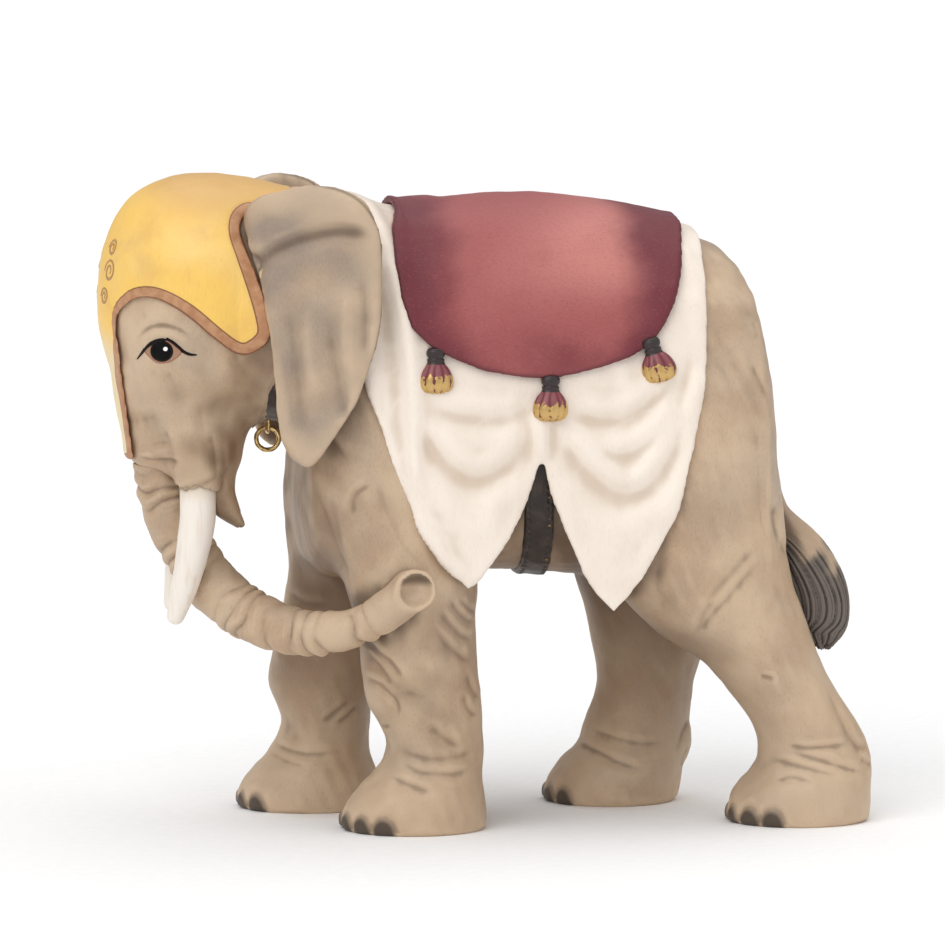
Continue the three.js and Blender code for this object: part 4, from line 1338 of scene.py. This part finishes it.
def eyePatch(side, trees):
    shape = eyeShape
    opening = smoothPath(shape["opening"], 6, closed=True)
    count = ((120, 84))
    across = np.linspace(-87.6, -76.4, count[0])
    up = np.linspace(112.8, 121.4, count[1])
    x, z = np.meshgrid(across, up, indexing="ij")
    edge = outlineDistance(x, z, opening)
    front = np.zeros((*count, 3))
    for i in range(count[0]):
        for j in range(count[1]):
            hit = touchDown(trees, (x[i, j], side * 60, z[i, j]), (0, -side, 0))
            front[i, j] = hit[0]
    inside = np.clip(-edge / 2.6, 0, 1)
    dome = shape["bulge"] * np.sqrt(1 - (1 - inside) ** 2)
    lift = np.where(edge < 0, dome, -0.35 * fade(edge, 0, 0.8)) - 0.1
    back = front.copy()
    front[..., 1] += side * lift
    back[..., 1] -= side * 1.0
    mesh = sheetMesh(front, back)
    iris = shape["irisRadius"] - np.hypot(x - shape["iris"][0], z - shape["iris"][1])
    # the white dot painted as a highlight
    glintDot = shape["glintDotRadius"] - np.hypot(x - shape["glintDot"][0], z - shape["glintDot"][1])
    corner = fade(-z, -116.5, -118.5) * 0.3 + fade(edge, -0.5, 0)
    for name, values in (("iris", iris), ("glintDot", glintDot), ("corner", corner)):
        setPaint(mesh, {name: np.concatenate([values.ravel(), values.ravel()])})
    return mesh


headTrees = surfaceOf(headPiece)
for side, name in ((-1, "left"), (1, "right")):
    patch = finishPiece(f"{name}_eye", eyePatch(side, headTrees), "figure", finishes["eye"])
    lid = smoothPath([(*spot, half) for spot, half in zip(eyeShape["lidLine"], eyeShape["lidHalf"])], 8)
    spots = [((x, side * 60, z), half) for x, z, half in lid]
    mesh = brushLine(spots, headTrees + surfaceOf(patch), (0, -side, 0), 0.22)
    finishPiece(f"{name}_lid_line", mesh, "figure", finishes["line"])

# Painted scrolls on the forehead of the headdress, a column each side: middle y and z, and size.
capTrees = surfaceOf(capPiece)
scrollPlaces = [(7.8, 141.6, 2.1), (8.6, 136, 2.9), (7.4, 129.8, 2.2)]
turn = np.linspace(0, 3.3 * math.pi, 60)
halves = 0.1 + 0.28 * np.sin(np.linspace(0.02, math.pi - 0.02, 60)) ** 0.5  # thin at both ends
for side, sideName in ((-1, "left"), (1, "right")):
    for number, (out, middle, size) in enumerate(scrollPlaces):
        reach = size * (1 - 0.75 * turn / turn[-1])
        spots = [((-130, side * (out - r * math.cos(a)), middle + r * math.sin(a)), half)
                 for r, a, half in zip(reach, turn, halves)]
        scroll = brushLine(spots, capTrees, (1, 0, 0), 0.15)
        finishPiece(f"forehead_scroll_{sideName}_{number + 1}", scroll, "figure",
                    finishes["scroll"])


# Drape: a white cloth over the back, hanging in two points on each side.

drapeFolds = [
    # swags hung between the tassels, shallow under the front one and deeper under the middle
    fold([(-22, 107.6), (-15.7, 103), (-10.3, 101.4), (-4.1, 101), (2.1, 102), (7.4, 105.4)], 2.125, 1.35,
         stain=0.06, lips=0.75),
    fold([(-22.4, 100.8), (-19.6, 95.2), (-15.4, 90), (-9.7, 86.4), (-3.4, 87.4), (2, 91.6), (6.8, 100.2)],
         2.375, 1.65, stain=0.072, lips=0.8),
    fold([(13, 104.4), (17.5, 101.6), (22.6, 100.3), (29.5, 101), (36.4, 105.6), (41.2, 111), (44, 117.4)],
         2.125, 1.5, stain=0.06, lips=0.75),
    fold([(10.9, 100.6), (13.4, 94.4), (18.5, 87.8), (25.4, 82.2), (32.3, 82.4), (37.8, 87.9), (42.6, 97.4),
          (46, 107)], 2.5, 1.8, stain=0.072, lips=0.8),
    fold([(20, 93.6), (27.4, 91.8), (32.2, 93.4), (39.1, 100.1), (44.2, 110.9), (46, 119)], 1.875, 1.05,
         stain=0.048, lips=0.7),
    # pinched ridge over the notch, and short pleats that fan out from the middle tassel
    fold([(7.6, 103), (7.9, 97), (8, 91.4)], 1.625, -1.95, ends=0.15),
    fold([(4, 104.6), (5, 98), (5.6, 90), (4, 82)], 1.5, 0.825, stain=0, ends=0.5, lips=0.2),
    fold([(11.4, 104.6), (10.8, 98), (10.4, 90), (12, 82)], 1.5, 0.825, stain=0, ends=0.5, lips=0.2),
    # long soft ridges below each swag
    fold([(-21, 96), (-17, 84), (-11, 76), (-5, 77), (1, 86), (5, 96)], 3.25, -1.05, ends=0.4),
    fold([(12, 96), (16, 83), (22, 74.6), (29, 73.4), (36, 82), (42, 98)], 3.5, -1.2, ends=0.4),
    # rolled fold down the front edge
    fold([(-32, 154), (-30.2, 150), (-28.6, 144), (-26.6, 134), (-24.8, 124), (-23.4, 111.7), (-22.9, 98),
          (-23, 86), (-21.2, 76.5), (-16, 67.6), (-10.6, 61.6)], 1.875, -1.8, ends=0.06),
    fold([(-34.4, 152), (-32, 140), (-29.4, 125), (-28, 112), (-27, 99), (-25, 87), (-20.4, 76)], 2, 1.2,
         stain=0.048, ends=0.1, lips=0.3),
    # hem along the rear edge
    fold([(46, 146), (47.4, 130), (46.2, 111), (43, 94), (38.2, 77), (31.4, 63.6)], 1.5, -0.675, ends=0.1),
    # glued seam of the two blocks, just telegraphing through the paint
    fold([(-15.6, 131), (-14.8, 118), (-12.6, 100), (-10.6, 80), (-10.2, 66)], 0.275, 0.105, stain=0.029,
         lips=0),
]


def drapeShell(grid):
    shape, outline, outer = drapeShape, np.array(drapeOutline), drapeOuter(grid)
    x, z = grid["x"][:, 0, :], grid["z"][0]
    edge = outlineDistance(x, z, outline)[:, None, :]
    raised = outlineDistance(x, z - shape["shorter"] * fade(z, 105, 70), outline)[:, None, :]
    edge = np.where(grid["y"] > 0, raised, edge)  # the right side hangs a little shorter
    depth = shape["thick"] + shape["hem"] * np.exp(-(edge / 1.6) ** 2)
    shell = np.maximum(outer, -(outer + depth))
    return keep(shell, edge + 0 * shell, 0.9)


def carveCloth(mesh, folds, seed):
    points, normals = readPoints(mesh), readNormals(mesh)
    left, right = (foldRelief(points, normals, folds, side, 2) for side in (-1, 1))
    push, stain = left[0] + right[0], left[1] + right[1]
    moved = points + normals * (push + 0.6 * handCut(points, seed))[:, None]
    writePoints(mesh, moved)
    setRecess(mesh)
    setPaint(mesh, {"stain": stain, "fineHollow": hollowness(mesh, 4), "broadHollow": hollowness(mesh, 30)})
    return mesh


grid = makeGrid((-44, -43, 50), (57, 43, 158), cell(0.85))
drapeMesh = carveCloth(meshOver(grid, drapeShell(grid)), drapeFolds, 61)
finishPiece("drape_cloth", drapeMesh, "figure", finishes["cream"], ["drape"])


# Saddle cloth.

saddleShape = {"stand": 1.9}
saddleOutline = [
    (-23.6, 170), (-24.2, 151), (-26.2, 146), (-26.4, 138), (-25.6, 130), (-23.6, 123.4), (-19.6, 119),
    (-13.4, 115.5), (-6.6, 112.9), (1.5, 111.3), (9, 110.8), (16, 111.6), (24, 113.8), (30.4, 116),
    (34.6, 118.4), (38.4, 122.8), (41.2, 128), (43.8, 135), (46, 143), (47.6, 149), (49, 170),
]
saddleFolds = [
    fold([(-20, 150), (-14, 136), (-16, 124)], 7.5, 0.6, stain=0),
    fold([(34, 146), (30, 132), (33, 120)], 7.5, 0.675, stain=0),
    fold([(6, 148), (12, 132), (10, 116)], 10, -0.45),
]
grid = makeGrid((-33, -45, 106), (52, 45, 160), cell(0.75))
clothUnder = drapeOuter(grid, 0.15)
clothOver = drapeOuter(grid, saddleShape["stand"] + 0.2)
edge = outlineDistance(grid["x"][:, 0, :], grid["z"][0], np.array(saddleOutline))[:, None, :]
saddleField = keep(np.maximum(clothOver, -clothUnder), edge + 0 * clothOver, 0.9)
saddleMesh = carveCloth(meshOver(grid, saddleField), saddleFolds, 62)
points = readPoints(saddleMesh)
# distance in from the edge, for the painted shade and highlight along it
edge = -outlineDistance(points[:, 0], points[:, 2], np.array(saddleOutline))
# painted highlight over the crown of the saddle cloth
saddleHighlight = np.exp(-((points[:, 0] - 26) / 15) ** 2 - ((points[:, 2] - 142) / 12) ** 2)
saddleHighlight += 0.35 * np.exp(-((points[:, 0] - 4) / 16) ** 2 - ((points[:, 2] - 137) / 12) ** 2)
# painted shade towards its front, rear and lower edges
saddleShade = 1.1 * fade(points[:, 0], 0, -26) + 1.1 * fade(points[:, 0], 22, 40)
saddleShade += 0.5 * fade(points[:, 2], 129, 111)
setPaint(saddleMesh, {"saddleHighlight": saddleHighlight, "saddleShade": saddleShade, "rim": edge})
finishPiece("saddle_cloth_wine", saddleMesh, "figure", finishes["wine"], ["saddle_cloth"])


# Girth strap and halter.

def strapMesh(rows, axis, stand, low, high, step, region, rounding=0.5, sunk=0.6):
    grid = makeGrid(low, high, step)
    under = ovalField(grid, axis, rows)
    shell = keep(under - stand, -(under + sunk), 0.4)
    return meshOver(grid, keep(shell, region(grid) + 0 * shell, rounding))


girth = {"middle": 7.2, "half": 3.6, "lean": 0.1, "stand": 1.2, "top": 108.0, "beadStep": 2.1}


def girthMiddle(z):  # the strap leans back towards the belly
    return girth["middle"] + girth["lean"] * (95 - z)


girthMesh = strapMesh(torsoRows, "x", girth["stand"], (0, -40, 54), (18, 40, 112), cell(0.55),
                      lambda grid: np.maximum(np.abs(grid["x"] - girthMiddle(grid["z"])) - girth["half"],
                                              grid["z"] - girth["top"]))
points = readPoints(girthMesh)
fromEdge = girth["half"] - np.abs(points[:, 0] - girthMiddle(points[:, 2]))
ridge = np.exp(-((fromEdge - 1.1) / 0.35) ** 2)
turn = np.arctan2(points[:, 1], points[:, 2] - 105) * 40
bead = np.exp(-((fromEdge - 1.1) / 0.45) ** 2) * np.exp(-(((turn / girth["beadStep"]) % 1 - 0.5) / 0.2) ** 2)
normals = readNormals(girthMesh)
writePoints(girthMesh, points + normals * (0.1 * ripple(points, 6, 71) - 0.25 * ridge + 0.3 * bead)[:, None])
setPaint(girthMesh, {"bead": bead * (0.35 + 0.3 * ripple(points, 7, 72))})
finishPiece("girth_strap_leather", girthMesh, "figure", finishes["strap"], ["girth_strap"])

halter = {
    "stand": 1.3,
    "band": [(-60.4, 90), (-50.2, 90), (-49.6, 99), (-46, 109), (-43.4, 116), (-50.5, 116), (-57.6, 105),
             (-60.4, 99.8)],
}
halterMesh = strapMesh(neckRows, "x", halter["stand"], (-64, -33, 88), (-40, 33, 120), cell(0.55),
                       lambda grid: outlineDistance(grid["x"][:, 0, :], grid["z"][0],
                                                    np.array(halter["band"]))[:, None, :])
points, normals = readPoints(halterMesh), readNormals(halterMesh)
edge = -outlineDistance(points[:, 0], points[:, 2], np.array(halter["band"]))
turn = np.arctan2(points[:, 1], points[:, 2] - 127) * 27
bead = np.exp(-((points[:, 0] + 51.6) / 0.6) ** 2) + np.exp(-((points[:, 0] + 59.2) / 0.6) ** 2)
bead *= np.exp(-(((turn / 1.7) % 1 - 0.5) / 0.24) ** 2)
writePoints(halterMesh, points + normals * (0.1 * ripple(points, 6, 73) + 0.35 * bead)[:, None])
setPaint(halterMesh, {"bead": bead})
finishPiece("halter_strap_leather", halterMesh, "figure", finishes["strap"],
            ["halter_strap"])


# Tassels: a turned knot over a fluted skirt, the lower half gilded.

tasselShape = {
    "height": 11.2, "flat": 0.78, "flutes": 11,
    "profile": [(0, 0.03), (0.02, 0.13), (0.07, 0.19), (0.14, 0.205), (0.2, 0.19), (0.235, 0.165),
                (0.27, 0.19), (0.32, 0.185), (0.36, 0.2), (0.45, 0.27), (0.57, 0.335), (0.7, 0.372),
                (0.8, 0.375), (0.88, 0.35), (0.95, 0.27), (0.985, 0.17), (1, 0.04)],
}
tasselPlaces = [("front", (-17.6, 35.6, 118.6), 0.0), ("middle", (10.0, 38.0, 111.8), 0.0),
                ("rear", (34.4, 36.4, 120.4), -0.3)]


def tasselMesh(side, place, lean, seed):
    shape = tasselShape
    around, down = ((96, 90))
    profile = np.array(shape["profile"])
    t = np.linspace(0, 1, down)
    radius = smoothLine(t, profile[:, 0], profile[:, 1]) * shape["height"]
    turn = np.linspace(0, 2 * math.pi, around, endpoint=False)
    t, turn = np.meshgrid(t, turn, indexing="ij")
    random = np.random.default_rng(seed)
    swing = 0.25 * np.sin(turn * 3 + random.uniform(0, 6)) + 0.2 * np.sin(turn * 2 + random.uniform(0, 6))
    lock = np.abs(np.sin(shape["flutes"] / 2 * turn + swing + 0.5 * t))
    skirt = fade(t, 0.36, 0.5) * fade(t, 1.0, 0.93)
    wrapped = 0.05 * np.sin(t * 150) * fade(t, 0.02, 0.06) * fade(t, 0.36, 0.3)
    radius = radius[:, None] * np.ones_like(turn) + 0.42 * (np.sqrt(lock) - 0.75) * skirt + wrapped
    bottom = fade(t, 0.86, 0.97) * 0.5 * (np.sqrt(lock) - 0.6)
    x, y, z = radius * np.cos(turn), radius * np.sin(turn) * shape["flat"], -t * shape["height"] - bottom
    c, s = math.cos(lean), math.sin(lean)
    x, z = c * x + s * z, -s * x + c * z
    rings = np.stack([x + place[0], y + side * place[1], z + place[2]], -1)
    mesh = tubeMesh(rings)
    lower = np.minimum(place[2] - rings[..., 2], shape["height"]) / shape["height"]
    setPaint(mesh, {"knot": fade(t, 0.4, 0.34).ravel(), "ridge": lock.ravel(),
                    "gilt": (fade(lower, 0.46, 0.74) * (0.45 + 0.55 * lock)).ravel()})
    return mesh


for side, sideName in ((-1, "left"), (1, "right")):
    for seed, (name, place, lean) in enumerate(tasselPlaces):
        finishPiece(f"tassel_{sideName}_{name}_turned", tasselMesh(side, place, lean, 80 + seed), "figure",
                    finishes["tassel"], [f"tassel_{sideName}_{name}"])


# Brass: the staple at the throat and the lead ring hanging in it.

throat = (-54, 0, 95.7)
leadRing = {"radius": 2.8, "wire": 0.58, "drop": 1.65}


def wireMesh(line, radius, normal, around=14, closed=False, wobble=0.03):
    line = np.asarray(line, float)
    ahead = (np.roll(line, -1, 0) - np.roll(line, 1, 0)) if closed else np.gradient(line, axis=0)
    ahead /= np.linalg.norm(ahead, axis=1, keepdims=True)
    out = np.cross(ahead, normal)
    out /= np.linalg.norm(out, axis=1, keepdims=True)
    up = np.cross(out, ahead)
    rings = []
    for i, a in enumerate(np.linspace(0, 2 * math.pi, around, endpoint=False)):
        girth = radius + wobble * np.sin(np.arange(len(line)) * 0.7 + i)
        rings.append(line + (out * math.cos(a) + up * math.sin(a)) * girth[:, None])
    return tubeMesh(np.stack(rings, 1), closed)


turn = np.linspace(0, 2 * math.pi, 72, endpoint=False)
ringLine = np.stack([throat[0] + leadRing["radius"] * np.cos(turn), throat[1] + 0 * turn,
                     throat[2] - leadRing["drop"] + leadRing["radius"] * np.sin(turn)], -1)
finishPiece("lead_ring_brass", wireMesh(ringLine, leadRing["wire"], (0, 1, 0), 20, True), "ring",
            finishes["brass"], ["lead_ring"])
stapleHalf = [(2.4, 5.2), (2.3, 3), (2.2, 1.4), (1.5, 0.25), (0, 0)]
stapleLine = smoothPath([(throat[0], y, throat[2] + rise) for y, rise in
                         stapleHalf + [(-y, rise) for y, rise in stapleHalf[-2::-1]]], 6)
finishPiece("ring_staple_brass", wireMesh(stapleLine, 0.45, (1, 0, 0)), "figure", finishes["brass"],
            ["ring_staple"])

for name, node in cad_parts.items():
    if name.endswith("dowel") or "_dowel_" in name:
        node.data.materials.clear()
        node.data.materials.append(finishes["beech"])


# Floor, light and camera.

def cardFloor(radius=14.0, rings=14, around=64):
    points, faces = [(0, 0, 0)], []
    for i in range(1, rings + 1):
        size = radius * (i / rings) ** 2
        for j in range(around):
            turn = 2 * math.pi * j / around
            points.append((size * math.cos(turn), size * math.sin(turn), 0))
    for j in range(around):
        faces.append((0, 1 + j, 1 + (j + 1) % around))
        for i in range(rings - 1):
            a = 1 + i * around
            faces.append((a + j, a + around + j, a + around + (j + 1) % around, a + (j + 1) % around))
    mesh = bpy.data.meshes.new("card_floor")
    mesh.from_pydata(points, [], faces)
    floor = bpy.data.objects.new("card_floor", mesh)
    bpy.context.scene.collection.objects.link(floor)
    mesh.materials.append(finishes["card"])


studio = {
    "world": 0.45,
    "suns": [  # name, direction it comes from, softness in degrees and strength
        ("keySun", (-0.5, -0.65, 0.75), 50, 1.25),
        ("fillSun", (0.75, -0.6, 0.35), 70, 0.4),
        ("topSun", (0.05, 0.2, 1.0), 60, 1.0),
    ],
}
cardFloor()
world = bpy.data.worlds.new("studio")
bpy.context.scene.world = world
world.use_nodes = True
world.node_tree.nodes["Background"].inputs["Color"].default_value = (1, 1, 1, 1)
world.node_tree.nodes["Background"].inputs["Strength"].default_value = studio["world"]
for name, place, softness, strength in studio["suns"]:
    lamp = bpy.data.lights.new(name, "SUN")
    lamp.angle, lamp.energy = math.radians(softness), strength
    holder = bpy.data.objects.new(name, lamp)
    holder.location = place
    holder.rotation_euler = (-Vector(place)).to_track_quat("-Z", "Y").to_euler()
    bpy.context.scene.collection.objects.link(holder)

bpy.context.scene.view_settings.view_transform = "Standard"
camera = bpy.data.cameras.new("camera")
camera.lens, camera.sensor_width, camera.clip_start = 246.9, 36, 0.05
cameraHolder = bpy.data.objects.new("camera", camera)
cameraHolder.location = toFrame((-249.2, -1573.5, 227.8))
aim = Vector(toFrame((-3.1, 0, 84.95))) - Vector(cameraHolder.location)
cameraHolder.rotation_euler = aim.to_track_quat("-Z", "Y").to_euler()
bpy.context.scene.collection.objects.link(cameraHolder)
bpy.context.scene.camera = cameraHolder
